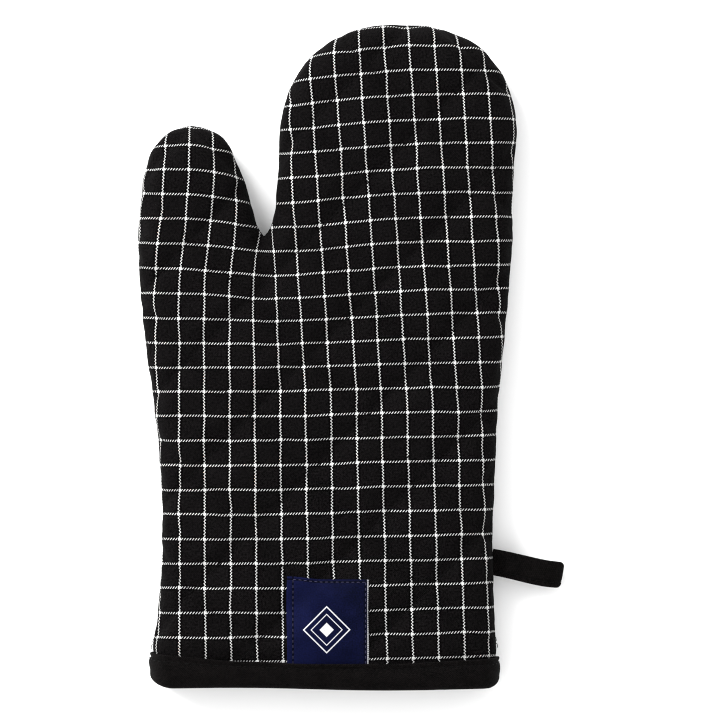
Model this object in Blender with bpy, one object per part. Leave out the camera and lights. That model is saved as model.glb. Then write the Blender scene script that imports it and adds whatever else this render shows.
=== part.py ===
"""A quilted oven mitt lying on its back, built from the pieces that it is sewn from.

Metres, +Z up. +Y runs from the cuff to the fingertips, and +X points away from the thumb.
The origin is under the middle of the whole mitt, on the surface that it lies on.
"""

import math

import bmesh
import bpy
import numpy as np
from mathutils import Vector
from mathutils.geometry import delaunay_2d_cdt

MM = 0.001

# Heights of the two padded halves, which meet at the side seam.
SEAM_HEIGHT = 11.0 * MM
EDGE_RISE = 14.0 * MM
CROWN = 5.0 * MM
CROWN_REACH = 16.0 * MM
FRONT_ROLL = 11.0 * MM
BACK_ROLL = 11.0 * MM
ROLL_FULLNESS = 2.2

# Cloth and wadding, from the outside in.
CLEARANCE = 0.3 * MM
OUTER_THICKNESS = 1.0 * MM
LINING_THICKNESS = 0.8 * MM
WADDING_FULL = 4.5 * MM
WADDING_AT_EDGE = 1.6 * MM
WADDING_REACH = 14.0 * MM

# The cuff, where the layers end and the binding wraps them.
CUFF_Y = -158.1 * MM
BINDING_THICKNESS = 1.2 * MM
BINDING_PINCH = 2.3 * MM
PINCH_START_Y = -123.0 * MM
BAND_MIDDLE_Y = -147.0 * MM
BAND_BOW = 4.2 * MM
BAND_HALF_WIDTH = 90.0 * MM
BINDING_STITCH_SHARE = 0.82
BINDING_STITCH_HALF = 0.03

# The side seam seen from above, from the cuff's right corner round the hand and the thumb to its left corner.
# The round ends of the hand and the thumb are arcs, each from one angle to another in so many points.
# The rest passes smoothly through a few points. All of it is in mm and degrees.
CUFF_RIGHT_X = 72.3
CUFF_LEFT_X = -97.4
HAND_SIDE = [(70.6, -133.6), (68.9, -124), (68.1, -108), (68.6, -60), (71.0, -15), (74.6, 22), (77.3, 60),
             (77.4, 80), (78.5, 97)]
FINGERTIP_CENTRE = (22.8, 103.0)
FINGERTIP_RADII = (56.7, 56.6)
FINGERTIP_RIGHT_FULLNESS = 2.4
FINGERTIP_RIGHT_ARC = (6, 90, 8)
FINGERTIP_LEFT_FULLNESS = 2.2
FINGERTIP_LEFT_ARC = (102, 174, 7)
THUMB_CROTCH = [(-34.9, 84), (-36.6, 69), (-39.4, 60.6), (-41.6, 58.1), (-43.8, 60.8), (-47.6, 71),
                (-51.0, 84)]
THUMB_TIP_CENTRE = (-76.6, 89.3)
THUMB_TIP_RADII = (21.7, 21.7)
THUMB_TIP_RIGHT_FULLNESS = 2.0
THUMB_TIP_RIGHT_ARC = (14, 93, 5)
THUMB_TIP_LEFT_FULLNESS = 1.82
THUMB_TIP_LEFT_ARC = (113, 172, 4)
THUMB_SIDE = [(-100.3, 76), (-101.6, 53), (-99.8, 22), (-95.3, -14), (-91.5, -48), (-90.1, -74),
              (-91.3, -110), (-92.6, -123), (-95.2, -132.5)]

# Meshing of the panels.
CURVE_STEP = 1.0 * MM
CUFF_SIDE_POINTS = 20
LONGEST_STATION = 22.0 * MM
CHORD_SAG = 0.4 * MM
BEND_BLUR = 5
INSETS = [0.0, 1.5 * MM, 4.5 * MM, 10.5 * MM]
GRID_STEP = 20.0 * MM
GRID_MARGIN = 8.0 * MM

# Diamond quilting: two families of diagonal lines, the same distance apart along the axes.
QUILT_PITCH = 56.0 * MM
QUILT_RISING_OFFSET = -20.3 * MM
QUILT_FALLING_OFFSET = -20.0 * MM
QUILT_HALF_WIDTH = 0.4 * MM
QUILT_SECTION = 9.0 * MM
QUILT_LINES_EACH_WAY = 5
QUILT_PROBES = 15
QUILT_MARGIN = 2.0 * MM
QUILT_EDGE_FRONT = 10.5 * MM
QUILT_EDGE_BACK = 17.0 * MM
QUILT_LIFT = 0.5 * MM
THREAD = 0.5 * MM
FINE_THREAD = 0.3 * MM
SEAM_STITCH_PINCH_LIMIT = 0.9 * BINDING_PINCH

# The maker's label, tucked against the binding.
LABEL_LEFT = -30.6 * MM
LABEL_RIGHT = 8.3 * MM
LABEL_TOP = -105.2 * MM
LABEL_THICKNESS = 0.6 * MM
LABEL_CELLS = 4
LABEL_STITCH_INSET = 2.2 * MM

# The hanging loop, a folded tape that leaves the side seam opposite the thumb and droops a little.
LOOP_ROOT_X = 69.5 * MM
LOOP_ROOT_Y = -98.1 * MM
LOOP_HINGE_OFFSET = 1.2 * MM
LOOP_LENGTH = 31.9 * MM
LOOP_WIDTH = 13.0 * MM
LOOP_SIDEWAYS = math.radians(10.6)
LOOP_DROOP = math.radians(8.0)
LOOP_TAPE = 1.1 * MM
LOOP_ROOT_HALF = 1.15 * MM
LOOP_HALF_HEIGHT = 4.7 * MM
LOOP_HOLE_START = 7.0 * MM
LOOP_HOLE_BLUNT = 0.15 * MM
LOOP_POINTS = 22
LOOP_STITCH_INSET = 2.4 * MM
LOOP_STITCH_START = 0.1
LOOP_STITCH_END = 0.9

CHECKED_TWILL = ("checked_twill", (0.012, 0.012, 0.015), 0.9)
WADDING = ("wadding", (0.80, 0.79, 0.74), 0.95)
LINING_COTTON = ("lining_cotton", (0.70, 0.66, 0.56), 0.9)
BLACK_TWILL_TAPE = ("black_twill_tape", (0.008, 0.008, 0.009), 0.85)
NAVY_WOVEN_LABEL = ("navy_woven_label", (0.012, 0.020, 0.075), 0.7)
BLACK_THREAD = ("black_thread", (0.010, 0.010, 0.012), 0.6)
WHITE_THREAD = ("white_thread", (0.75, 0.74, 0.70), 0.6)


def clear_scene():
    """Remove whatever the file holds already."""
    for item in list(bpy.data.objects):
        bpy.data.objects.remove(item, do_unlink=True)


def smooth_step(value):
    """Ease from 0 to 1 as the value goes from 0 to 1."""
    part = np.clip(value, 0.0, 1.0)
    return part * part * (3.0 - 2.0 * part)


# ---------------------------------------------------------------------- outline

def arc_points(centre, radii, fullness, start_deg, end_deg, count):
    """Points on a stretch of a squared-off ellipse; a fullness of 2 is a true ellipse."""
    angles = np.radians(np.linspace(start_deg, end_deg, count))
    power = 2.0 / fullness
    across = np.sign(np.cos(angles)) * np.abs(np.cos(angles)) ** power
    along = np.abs(np.sin(angles)) ** power
    return np.column_stack([centre[0] + radii[0] * across, centre[1] + radii[1] * along])


def smooth_curve(points, start_tangent, end_tangent):
    """A smooth curve through the points, sampled every CURVE_STEP."""
    gaps = np.linalg.norm(np.diff(points, axis=0), axis=1)
    slopes = np.diff(points, axis=0) / gaps[:, None]
    tangents = np.empty_like(points)
    weight = (gaps[:-1] / (gaps[:-1] + gaps[1:]))[:, None]
    tangents[1:-1] = slopes[:-1] * (1 - weight) + slopes[1:] * weight
    tangents[0] = start_tangent
    tangents[-1] = end_tangent
    samples = []
    for index, gap in enumerate(gaps):
        part = np.arange(0.0, 1.0, CURVE_STEP / gap)[:, None]
        samples.append((2 * part**3 - 3 * part**2 + 1) * points[index]
                       + (part**3 - 2 * part**2 + part) * gap * tangents[index]
                       + (-2 * part**3 + 3 * part**2) * points[index + 1]
                       + (part**3 - part**2) * gap * tangents[index + 1])
    samples.append(points[-1:])
    return np.vstack(samples)


def band_top(x):
    """Height up the cuff that the binding's edge reaches; it bows down towards the middle."""
    return BAND_MIDDLE_Y + BAND_BOW * (x / BAND_HALF_WIDTH) ** 2


def seam_curve():
    """The side seam above the binding, closely sampled, anticlockwise from the cuff's right corner."""
    tip_right = arc_points(FINGERTIP_CENTRE, FINGERTIP_RADII, FINGERTIP_RIGHT_FULLNESS, *FINGERTIP_RIGHT_ARC)
    tip_left = arc_points(FINGERTIP_CENTRE, FINGERTIP_RADII, FINGERTIP_LEFT_FULLNESS, *FINGERTIP_LEFT_ARC)
    thumb_right = arc_points(THUMB_TIP_CENTRE, THUMB_TIP_RADII, THUMB_TIP_RIGHT_FULLNESS, *THUMB_TIP_RIGHT_ARC)
    thumb_left = arc_points(THUMB_TIP_CENTRE, THUMB_TIP_RADII, THUMB_TIP_LEFT_FULLNESS, *THUMB_TIP_LEFT_ARC)
    right_end = (CUFF_RIGHT_X, band_top(CUFF_RIGHT_X * MM) / MM)
    left_end = (CUFF_LEFT_X, band_top(CUFF_LEFT_X * MM) / MM)
    knots = [[right_end], HAND_SIDE, tip_right, tip_left, THUMB_CROTCH, thumb_right, thumb_left, THUMB_SIDE,
             [left_end]]
    return smooth_curve(np.vstack(knots) * MM, (0.0, 1.0), (0.0, -1.0))


def seam_stations(curve):
    """Places along the seam, closer where it bends, each with its inward direction."""
    steps = np.linalg.norm(np.diff(curve, axis=0), axis=1)
    along = np.concatenate([[0.0], np.cumsum(steps)])
    heading = np.unwrap(np.arctan2(*np.gradient(curve, along, axis=0).T[::-1]))
    bend = np.abs(np.gradient(heading, along))
    blur = np.ones(BEND_BLUR) / BEND_BLUR
    bend = np.convolve(np.pad(bend, BEND_BLUR // 2, mode="edge"), blur, mode="valid")
    density = np.maximum(1.0 / LONGEST_STATION, np.sqrt(bend / (8.0 * CHORD_SAG)))
    count_so_far = np.concatenate([[0.0], np.cumsum(steps * (density[:-1] + density[1:]) / 2)])
    count = int(math.ceil(count_so_far[-1]))
    places = np.interp(np.linspace(0, count_so_far[-1], count + 1), count_so_far, along)
    points = np.column_stack([np.interp(places, along, curve[:, axis]) for axis in (0, 1)])
    angles = np.interp(places, along, heading)
    angles[0] = math.pi / 2
    angles[-1] = angles[-1] - (angles[-1] % (2 * math.pi)) + 1.5 * math.pi
    inward = np.column_stack([-np.sin(angles), np.cos(angles)])
    return points, inward


# ---------------------------------------------------------------------- surfaces of the halves

class Seam:
    """The side seam as a distance field: how far inside it a point is, and which way is inward."""

    def __init__(self):
        self.curve = seam_curve()
        self.points, self.inward = seam_stations(self.curve)
        below = [(self.curve[0][0], CUFF_Y), (self.curve[-1][0], CUFF_Y)]
        right_run = np.linspace(below[0], self.curve[0], CUFF_SIDE_POINTS)
        left_run = np.linspace(self.curve[-1], below[1], CUFF_SIDE_POINTS)
        self.whole = np.vstack([right_run, self.curve[1:-1], left_run])

    def distance(self, points):
        """Distance inside the seam and the inward direction at each point."""
        offsets = points[:, None, :] - self.whole[None, :, :]
        lengths = np.linalg.norm(offsets, axis=2)
        nearest = np.argmin(lengths, axis=1)
        rows = np.arange(len(points))
        distance = lengths[rows, nearest]
        inward = offsets[rows, nearest] / np.maximum(distance, 1e-9)[:, None]
        return distance, inward

    def inside(self, places):
        """Whether each place is inside the outline, by counting crossings to its right."""
        ring = self.whole
        following = np.roll(ring, -1, axis=0)
        result = np.zeros(len(places), dtype=bool)
        for (x0, y0), (x1, y1) in zip(ring, following):
            spans = (y0 > places[:, 1]) != (y1 > places[:, 1])
            if not spans.any():
                continue
            crossing = x0 + (places[:, 1] - y0) * (x1 - x0) / (y1 - y0)
            result ^= spans & (places[:, 0] < crossing)
        return result


def roll(distance, width):
    """Rise of a rolled edge, from 0 at the seam to 1 at the roll's width, and its slope."""
    part = np.clip(1.0 - distance / width, 0.0, 1.0)
    base = 1.0 - part**ROLL_FULLNESS
    rise = base ** (1.0 / ROLL_FULLNESS)
    slope = part ** (ROLL_FULLNESS - 1) * np.maximum(base, 1e-6) ** (1.0 / ROLL_FULLNESS - 1) / width
    return rise, slope


class Half:
    """One padded half of the mitt: its outer face, and the faces of the layers below that."""

    def __init__(self, seam, side):
        self.seam = seam
        self.side = side

    def height(self, distance):
        """Height of the outer face above or below the seam, and its slope."""
        if self.side < 0:
            rise, slope = roll(distance, BACK_ROLL)
            depth = SEAM_HEIGHT - CLEARANCE / 2
            return depth * rise, depth * slope
        rise, slope = roll(distance, FRONT_ROLL)
        fade = np.exp(-distance / CROWN_REACH)
        return EDGE_RISE * rise + CROWN * (1 - fade), EDGE_RISE * slope + CROWN / CROWN_REACH * fade

    def points(self, plan, depth, distance=None, inward=None):
        """Points at a depth below the outer face, over or under places in the plan."""
        if distance is None:
            distance, inward = self.seam.distance(plan)
        height, slope = self.height(distance)
        length = np.sqrt(1.0 + slope**2)
        level = SEAM_HEIGHT + self.side * (CLEARANCE / 2 + height)
        outward = np.column_stack([-inward * (slope / length)[:, None], self.side / length])
        at_seam = distance < 1e-7
        outward[at_seam] = np.column_stack([-inward[at_seam], np.zeros(at_seam.sum())])
        return np.column_stack([plan, level]) - outward * depth[:, None]


def pinch(plan):
    """How far the binding presses the layers in; nothing up on the hand."""
    part = (PINCH_START_Y - plan[:, 1]) / (PINCH_START_Y - band_top(plan[:, 0]))
    return BINDING_PINCH * np.clip(part, 0.0, 1.0)


def wadding_thickness(plan, distance):
    """The wadding is full over the hand, and thin at the seam and under the binding."""
    to_edge = np.minimum(distance, plan[:, 1] - band_top(plan[:, 0]))
    return WADDING_AT_EDGE + (WADDING_FULL - WADDING_AT_EDGE) * smooth_step(to_edge / WADDING_REACH)


class Sheet:
    """The flat pattern of a panel, cut into triangles, with its boundary in order."""

    def __init__(self, seam):
        self.seam = seam
        self.row_x = self.cuff_row_x()
        rings = [seam.points + inset * seam.inward for inset in INSETS]
        places = []
        edges = []
        outline = self.add_row(places, rings[0])
        self.add_chain(edges, outline)
        for ring in rings[1:]:
            self.add_chain(edges, self.add_row(places, ring))
        self.add_row(places, self.band_row()[len(INSETS):-len(INSETS)])
        lower = self.add_row(places, self.cuff_row())
        self.add_chain(edges, lower)
        edges.append((outline[-1], lower[0]))
        edges.append((lower[-1], outline[0]))
        self.add_row(places, self.grid())
        result = delaunay_2d_cdt([Vector(place) for place in places], edges, [], 1, 1e-7)
        self.plan = np.array([tuple(vertex) for vertex in result[0]])
        self.triangles = [tuple(face) for face in result[2]]
        self.boundary = self.boundary_edges()
        self.distance, self.inward = self.distances(rings)

    @staticmethod
    def add_row(places, points):
        first = len(places)
        places.extend(tuple(point) for point in points)
        return list(range(first, len(places)))

    @staticmethod
    def add_chain(edges, chain):
        edges.extend(zip(chain[:-1], chain[1:]))

    def cuff_row_x(self):
        """Places across the cuff, from left to right, close together near the side seams."""
        left = self.seam.points[-1][0]
        right = self.seam.points[0][0]
        start = left + INSETS[-1]
        end = right - INSETS[-1]
        middle = np.linspace(start, end, int(round((end - start) / GRID_STEP)) + 1)
        return np.concatenate([left + np.array(INSETS[:-1]), middle, right - np.array(INSETS[:-1])[::-1]])

    def cuff_row(self):
        return np.column_stack([self.row_x, np.full(len(self.row_x), CUFF_Y)])

    def band_row(self):
        """Places under the binding's edge, one above each place of the cuff row."""
        heights = band_top(self.row_x)
        heights[:len(INSETS)] = heights[0]
        heights[-len(INSETS):] = heights[-1]
        return np.column_stack([self.row_x, heights])

    def grid(self):
        """Places spread over the hand and thumb, clear of the rings and the cuff."""
        low = self.seam.whole.min(axis=0)
        high = self.seam.whole.max(axis=0)
        places = []
        for row, y in enumerate(np.arange(PINCH_START_Y, high[1], GRID_STEP * math.sqrt(3) / 2)):
            shift = GRID_STEP / 2 if row % 2 else 0.0
            places.extend((x + shift, y) for x in np.arange(low[0], high[0], GRID_STEP))
        places = np.array(places)
        distance, _ = self.seam.distance(places)
        clear_of_rings = distance > INSETS[-1] + GRID_MARGIN
        return places[clear_of_rings & self.seam.inside(places)]

    def boundary_edges(self):
        """Directed edges that belong to one triangle only."""
        directed = set()
        for a, b, c in self.triangles:
            directed.update([(a, b), (b, c), (c, a)])
        return sorted(edge for edge in directed if edge[::-1] not in directed)

    def distances(self, rings):
        """Exact distances and directions on the rings and the cuff's ends, measured ones elsewhere."""
        distance, inward = self.seam.distance(self.plan)
        for inset, ring in zip(INSETS, rings):
            for point, direction in zip(ring, self.seam.inward):
                match = np.linalg.norm(self.plan - point, axis=1) < 1e-6
                distance[match] = inset
                inward[match] = direction
        below_band = self.plan[:, 1] < CUFF_Y + 1e-6
        towards_middle = np.where(self.plan[:, 0] < 0, 1.0, -1.0)
        inward[below_band] = np.column_stack([towards_middle, np.zeros(len(self.plan))])[below_band]
        side_x = np.where(self.plan[:, 0] < 0, self.row_x[0], self.row_x[-1])
        distance[below_band] = np.abs(self.plan[:, 0] - side_x)[below_band]
        return distance, inward


# ---------------------------------------------------------------------- solids

def make_material(recipe):
    """One Principled material for each cloth, tape or thread."""
    name, colour, roughness = recipe
    material = bpy.data.materials.get(name)
    if material is None:
        material = bpy.data.materials.new(name)
        material.use_nodes = True
        shader = material.node_tree.nodes["Principled BSDF"]
        shader.inputs["Base Color"].default_value = (*colour, 1.0)
        shader.inputs["Roughness"].default_value = roughness
        shader.inputs["Metallic"].default_value = 0.0
    return material


def make_object(name, vertices, faces, recipe, origin=(0.0, 0.0, 0.0), parent=None):
    """A mesh object with its faces pointing out and its origin at the given place."""
    body = bmesh.new()
    corners = [body.verts.new(Vector(vertex) - Vector(origin)) for vertex in vertices]
    for face in faces:
        body.faces.new([corners[index] for index in face])
    bmesh.ops.recalc_face_normals(body, faces=body.faces)
    if body.calc_volume(signed=True) < 0:
        bmesh.ops.reverse_faces(body, faces=body.faces)
    mesh = bpy.data.meshes.new(name)
    body.to_mesh(mesh)
    body.free()
    mesh.materials.append(make_material(recipe))
    item = bpy.data.objects.new(name, mesh)
    bpy.context.collection.objects.link(item)
    mesh.shade_smooth()
    mesh.set_sharp_from_angle(angle=math.radians(40))
    item.location = origin
    if parent is not None:
        item.parent = parent
        item.location = Vector(origin) - parent.location
    return item


def layer(name, sheet, half, top_depth, bottom_depth, recipe):
    """A padded half's layer: two skins of the same pattern, joined by a rim."""
    top = half.points(sheet.plan, top_depth, sheet.distance, sheet.inward)
    bottom = half.points(sheet.plan, bottom_depth, sheet.distance, sheet.inward)
    count = len(sheet.plan)
    faces = list(sheet.triangles)
    faces += [(c + count, b + count, a + count) for a, b, c in sheet.triangles]
    faces += [(b, a, a + count, b + count) for a, b in sheet.boundary]
    return make_object(name, np.vstack([top, bottom]), faces, recipe)


def padded_half(sheet, half, word):
    """The outer cloth, wadding and lining of one half, each clear of the next."""
    wadding = wadding_thickness(sheet.plan, sheet.distance)
    outer_top = pinch(sheet.plan)
    outer_bottom = outer_top + OUTER_THICKNESS
    wadding_top = outer_bottom + CLEARANCE
    wadding_bottom = wadding_top + wadding
    lining_top = wadding_bottom + CLEARANCE
    lining_bottom = lining_top + LINING_THICKNESS
    layer("outer_" + word + "_panel", sheet, half, outer_top, outer_bottom, CHECKED_TWILL)
    layer("wadding_" + word, sheet, half, wadding_top, wadding_bottom, WADDING)
    layer("lining_" + word, sheet, half, lining_top, lining_bottom, LINING_COTTON)


def stack_depth(plan, distance):
    """Depth of the lining's inner face below the plain outer face."""
    layers = OUTER_THICKNESS + LINING_THICKNESS + 2 * CLEARANCE
    return pinch(plan) + layers + wadding_thickness(plan, distance)


def inner_face(half, plan):
    """Height of a half's lining, on the side that the hand touches."""
    distance, inward = half.seam.distance(plan)
    return half.points(plan, stack_depth(plan, distance), distance, inward)[:, 2]


def ring_solid(name, sections, recipe, closed):
    """Join matching cross-sections into a ring, or into a rod with two end caps."""
    count = len(sections[0])
    total = len(sections)
    faces = []
    for index in range(total if closed else total - 1):
        here = index * count
        there = ((index + 1) % total) * count
        for corner in range(count):
            after = (corner + 1) % count
            faces.append((here + corner, here + after, there + after, there + corner))
    if not closed:
        last = (total - 1) * count
        faces.append(tuple(range(count)))
        faces.append(tuple(range(last + count - 1, last - 1, -1)))
    return make_object(name, np.vstack(sections), faces, recipe)


# ---------------------------------------------------------------------- the cuff

class Mouth:
    """Stations round the cuff's mouth, which the binding and its stitches follow."""

    def __init__(self, sheet, front, back):
        cuff = sheet.cuff_row()
        band = sheet.band_row()
        distance = np.minimum(sheet.row_x - sheet.row_x[0], sheet.row_x[-1] - sheet.row_x)
        inward = np.column_stack([np.where(sheet.row_x < 0, 1.0, -1.0), np.zeros(len(sheet.row_x))])
        self.parts = [(front, slice(None, None, -1)), (back, slice(None))]
        self.rows = [(cuff, distance, inward), (band, distance, inward)]

    def between(self, share, face, extra):
        """A loop part of the way up from the cuff's edge to the binding's edge."""
        lower = self.loop(0, face, extra, 0.0)
        upper = self.loop(1, face, extra, 0.0)
        return lower + (upper - lower) * share

    def loop(self, row, depth_from, extra, shift_y):
        """A closed loop of points at a depth below the outer or the inner face of the cuff."""
        plan, distance, inward = self.rows[row]
        loops = []
        for half, order in self.parts:
            base = pinch(plan) if depth_from == "outside" else stack_depth(plan, distance)
            points = half.points(plan, base + extra, distance, inward)[order]
            points[:, 1] += shift_y
            loops.append(points)
        return np.vstack(loops)


def cuff_binding(mouth):
    """A tape folded over the cuff's edge: an outer leg, a web below the layers and an inner leg."""
    near = CLEARANCE
    far = CLEARANCE + BINDING_THICKNESS
    loops = [mouth.loop(1, "outside", -far, 0.0), mouth.between(BINDING_STITCH_SHARE, "outside", -far),
             mouth.loop(0, "outside", -far, -far), mouth.loop(0, "inside", far, -far),
             mouth.between(BINDING_STITCH_SHARE, "inside", far), mouth.loop(1, "inside", far, 0.0),
             mouth.loop(1, "inside", near, 0.0), mouth.loop(0, "inside", near, -near),
             mouth.loop(0, "outside", -near, -near), mouth.loop(1, "outside", -near, 0.0)]
    sections = [np.array(points) for points in zip(*loops)]
    return ring_solid("cuff_binding", sections, BLACK_TWILL_TAPE, closed=True)


def binding_stitch(name, mouth, face):
    """A thread ring that lies on the binding, a little below its edge."""
    sign = -1.0 if face == "outside" else 1.0
    near = sign * (CLEARANCE + BINDING_THICKNESS + CLEARANCE)
    far = near + sign * FINE_THREAD
    low = BINDING_STITCH_SHARE - BINDING_STITCH_HALF
    high = BINDING_STITCH_SHARE + BINDING_STITCH_HALF
    profile = [(high, near), (low, near), (low, far), (high, far)]
    corners = [mouth.between(share, face, extra) for share, extra in profile]
    sections = [np.array(points) for points in zip(*corners)]
    return ring_solid(name, sections, BLACK_THREAD, closed=True)


# ---------------------------------------------------------------------- threads on the halves

def thread_along(name, places, lift, recipe):
    """A square thread along a row of places, raised by the lift."""
    places = np.array(places)
    ahead = np.gradient(places, axis=0)
    ahead /= np.linalg.norm(ahead, axis=1)[:, None]
    up = np.array([0.0, 0.0, 1.0])
    across = np.cross(ahead, up)
    across /= np.linalg.norm(across, axis=1)[:, None]
    half = THREAD / 2
    low = places + up * lift
    high = low + up * THREAD
    sections = [np.array(points) for points in
                zip(low - across * half, low + across * half, high + across * half, high - across * half)]
    return ring_solid(name, sections, recipe, closed=False)


def seam_stitch(seam):
    """The lockstitch just inside the side seam, in the plane where the two halves meet."""
    stack = OUTER_THICKNESS + WADDING_AT_EDGE + LINING_THICKNESS + 2 * CLEARANCE
    inset = stack + CLEARANCE + THREAD
    pressed = pinch(seam.points)
    keep = pressed < SEAM_STITCH_PINCH_LIMIT
    plan = (seam.points + (inset + pressed)[:, None] * seam.inward)[keep]
    places = np.column_stack([plan, np.full(len(plan), SEAM_HEIGHT - THREAD / 2)])
    return thread_along("seam_stitch", places, 0.0, WHITE_THREAD)


class QuiltNet:
    """The quilting thread of one half: a net of diagonal stitch lines, joined where they cross."""

    # The way to each neighbouring crossing, with the corners on the left and right of a line going there.
    ARMS = {
        (1, 0): ("west", "north"),
        (0, 1): ("north", "east"),
        (-1, 0): ("east", "south"),
        (0, -1): ("south", "west"),
    }

    def __init__(self, seam, face_height, edge):
        self.seam = seam
        self.face_height = face_height
        self.edge = edge
        self.vertices = []
        self.faces = []

    def crossing(self, rising, falling):
        """Where a rising line meets a falling one."""
        first = QUILT_RISING_OFFSET - QUILT_PITCH * rising
        second = QUILT_FALLING_OFFSET + QUILT_PITCH * falling
        return np.array([(first + second) / 2, (second - first) / 2])

    def allowed(self, places):
        """Whether stitching can be at each place: on the hand, off the label and above the binding."""
        distance, _ = self.seam.distance(places)
        x = places[:, 0]
        y = places[:, 1]
        beside_label = (x > LABEL_LEFT - QUILT_MARGIN) & (x < LABEL_RIGHT + QUILT_MARGIN)
        on_label = beside_label & (y < LABEL_TOP + QUILT_MARGIN)
        above_band = y > band_top(x) + 2 * QUILT_MARGIN
        return (distance > self.edge) & self.seam.inside(places) & ~on_label & above_band

    def add_pair(self, place):
        """A vertex under the thread and one on top of it."""
        height = self.face_height(np.array([place]))[0] + QUILT_LIFT
        self.vertices.append((place[0], place[1], height))
        self.vertices.append((place[0], place[1], height + THREAD))
        return len(self.vertices) - 2

    def wall(self, first, second):
        self.faces.append((first, second, second + 1, first + 1))

    def strip(self, before, after):
        """The thread between two sections; each section is its left and right pair."""
        left, right = before
        next_left, next_right = after
        self.faces.append((left + 1, right + 1, next_right + 1, next_left + 1))
        self.faces.append((left, next_left, next_right, right))
        self.wall(left, next_left)
        self.wall(next_right, right)

    def build(self, name, recipe):
        span = range(-QUILT_LINES_EACH_WAY, QUILT_LINES_EACH_WAY + 1)
        keys = [(i, j) for i in span for j in span]
        places = np.array([self.crossing(*key) for key in keys])
        kept = self.connected({key for key, good in zip(keys, self.allowed(places)) if good})
        corners = {key: self.crossing_corners(key) for key in kept}
        for key in kept:
            for step in self.ARMS:
                self.arm(key, step, corners)
        return make_object(name, self.vertices, self.faces, recipe)

    def connected(self, keys):
        """The largest group of crossings that are joined by whole stretches of line."""
        groups = []
        waiting = sorted(keys)
        while waiting:
            group = [waiting.pop(0)]
            for key in group:
                for step in self.ARMS:
                    other = (key[0] + step[0], key[1] + step[1])
                    if other in waiting and self.whole_stretch(key, other):
                        waiting.remove(other)
                        group.append(other)
            groups.append(group)
        return sorted(max(groups, key=len))

    def whole_stretch(self, key, other):
        places = np.linspace(self.crossing(*key), self.crossing(*other), QUILT_PROBES)
        return bool(self.allowed(places).all())

    def crossing_corners(self, key):
        reach = QUILT_HALF_WIDTH * math.sqrt(2)
        centre = self.crossing(*key)
        offsets = {"east": (reach, 0.0), "north": (0.0, reach), "west": (-reach, 0.0), "south": (0.0, -reach)}
        corners = {word: self.add_pair(centre + np.array(offset)) for word, offset in offsets.items()}
        ring = [corners[word] for word in ("east", "north", "west", "south")]
        self.faces.append(tuple(index + 1 for index in ring))
        self.faces.append(tuple(reversed(ring)))
        return corners

    def arm(self, key, step, corners):
        """The stitch line from a crossing towards its neighbour, or as far as stitching can go."""
        left_word, right_word = self.ARMS[step]
        section = (corners[key][left_word], corners[key][right_word])
        other = (key[0] + step[0], key[1] + step[1])
        start = self.crossing(*key)
        end = self.crossing(*other)
        length = np.linalg.norm(end - start)
        ahead = (end - start) / length
        count = int(round(length / QUILT_SECTION))
        distances = np.linspace(QUILT_HALF_WIDTH, length - QUILT_HALF_WIDTH, count + 1)
        good = self.allowed(start + distances[:, None] * ahead)
        whole = other in corners and self.whole_stretch(key, other)
        if whole and step in ((-1, 0), (0, -1)):
            return
        steps = count
        if not whole and not good.all():
            steps = int(np.argmin(good))
        if not whole and other in corners:
            steps = min(steps, count // 2)
        left = np.array([-ahead[1], ahead[0]]) * QUILT_HALF_WIDTH
        for index in range(1, steps):
            centre = start + distances[index] * ahead
            following = (self.add_pair(centre + left), self.add_pair(centre - left))
            self.strip(section, following)
            section = following
        if whole:
            left_far, right_far = self.ARMS[(-step[0], -step[1])][::-1]
            self.strip(section, (corners[other][left_far], corners[other][right_far]))
        else:
            self.wall(section[0], section[1])


# ---------------------------------------------------------------------- the label

def label_height(front, plan):
    """Height of the label's underside."""
    return front.points(plan, pinch(plan))[:, 2] + CLEARANCE


def maker_label(front):
    """A flat woven label that follows the front half; its lower edge meets the binding."""
    plan = []
    for x in np.linspace(LABEL_LEFT, LABEL_RIGHT, LABEL_CELLS + 1):
        low = band_top(x) + CLEARANCE
        lower_rows = np.linspace(low, PINCH_START_Y, LABEL_CELLS // 2, endpoint=False)
        upper_rows = np.linspace(PINCH_START_Y, LABEL_TOP, LABEL_CELLS // 2 + 1)
        plan.extend((x, y) for y in (*lower_rows, *upper_rows))
    plan = np.array(plan)
    under = np.column_stack([plan, label_height(front, plan)])
    over = under + np.array([0.0, 0.0, LABEL_THICKNESS])
    wide = LABEL_CELLS + 1
    count = wide * wide
    faces = []
    for column in range(LABEL_CELLS):
        for row in range(LABEL_CELLS):
            corner = column * wide + row
            quad = (corner, corner + wide, corner + wide + 1, corner + 1)
            faces.append(tuple(index + count for index in quad))
            faces.append(quad[::-1])
    rim = [column * wide for column in range(wide)]
    rim += [LABEL_CELLS * wide + row for row in range(1, wide)]
    rim += [column * wide + LABEL_CELLS for column in range(LABEL_CELLS - 1, -1, -1)]
    rim += list(range(LABEL_CELLS - 1, 0, -1))
    for first, second in zip(rim, rim[1:] + rim[:1]):
        faces.append((first, second, second + count, first + count))
    return make_object("maker_label", np.vstack([under, over]), faces, NAVY_WOVEN_LABEL)


def label_stitch(front):
    """One stitch line inside the label's left, top and right edges."""
    left = LABEL_LEFT + LABEL_STITCH_INSET
    right = LABEL_RIGHT - LABEL_STITCH_INSET
    top = LABEL_TOP - LABEL_STITCH_INSET
    corners = [(left, band_top(left) + THREAD), (left, PINCH_START_Y), (left, top),
               (right, top), (right, PINCH_START_Y), (right, band_top(right) + THREAD)]
    plan = []
    for start, end in zip(corners[:-1], corners[1:]):
        plan.extend(np.linspace(start, end, 3, endpoint=False))
    plan = np.array(plan + [np.array(corners[-1])])
    height = label_height(front, plan) + LABEL_THICKNESS + CLEARANCE
    return thread_along("label_stitch", np.column_stack([plan, height]), 0.0, BLACK_THREAD)


# ---------------------------------------------------------------------- the hanging loop

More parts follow.
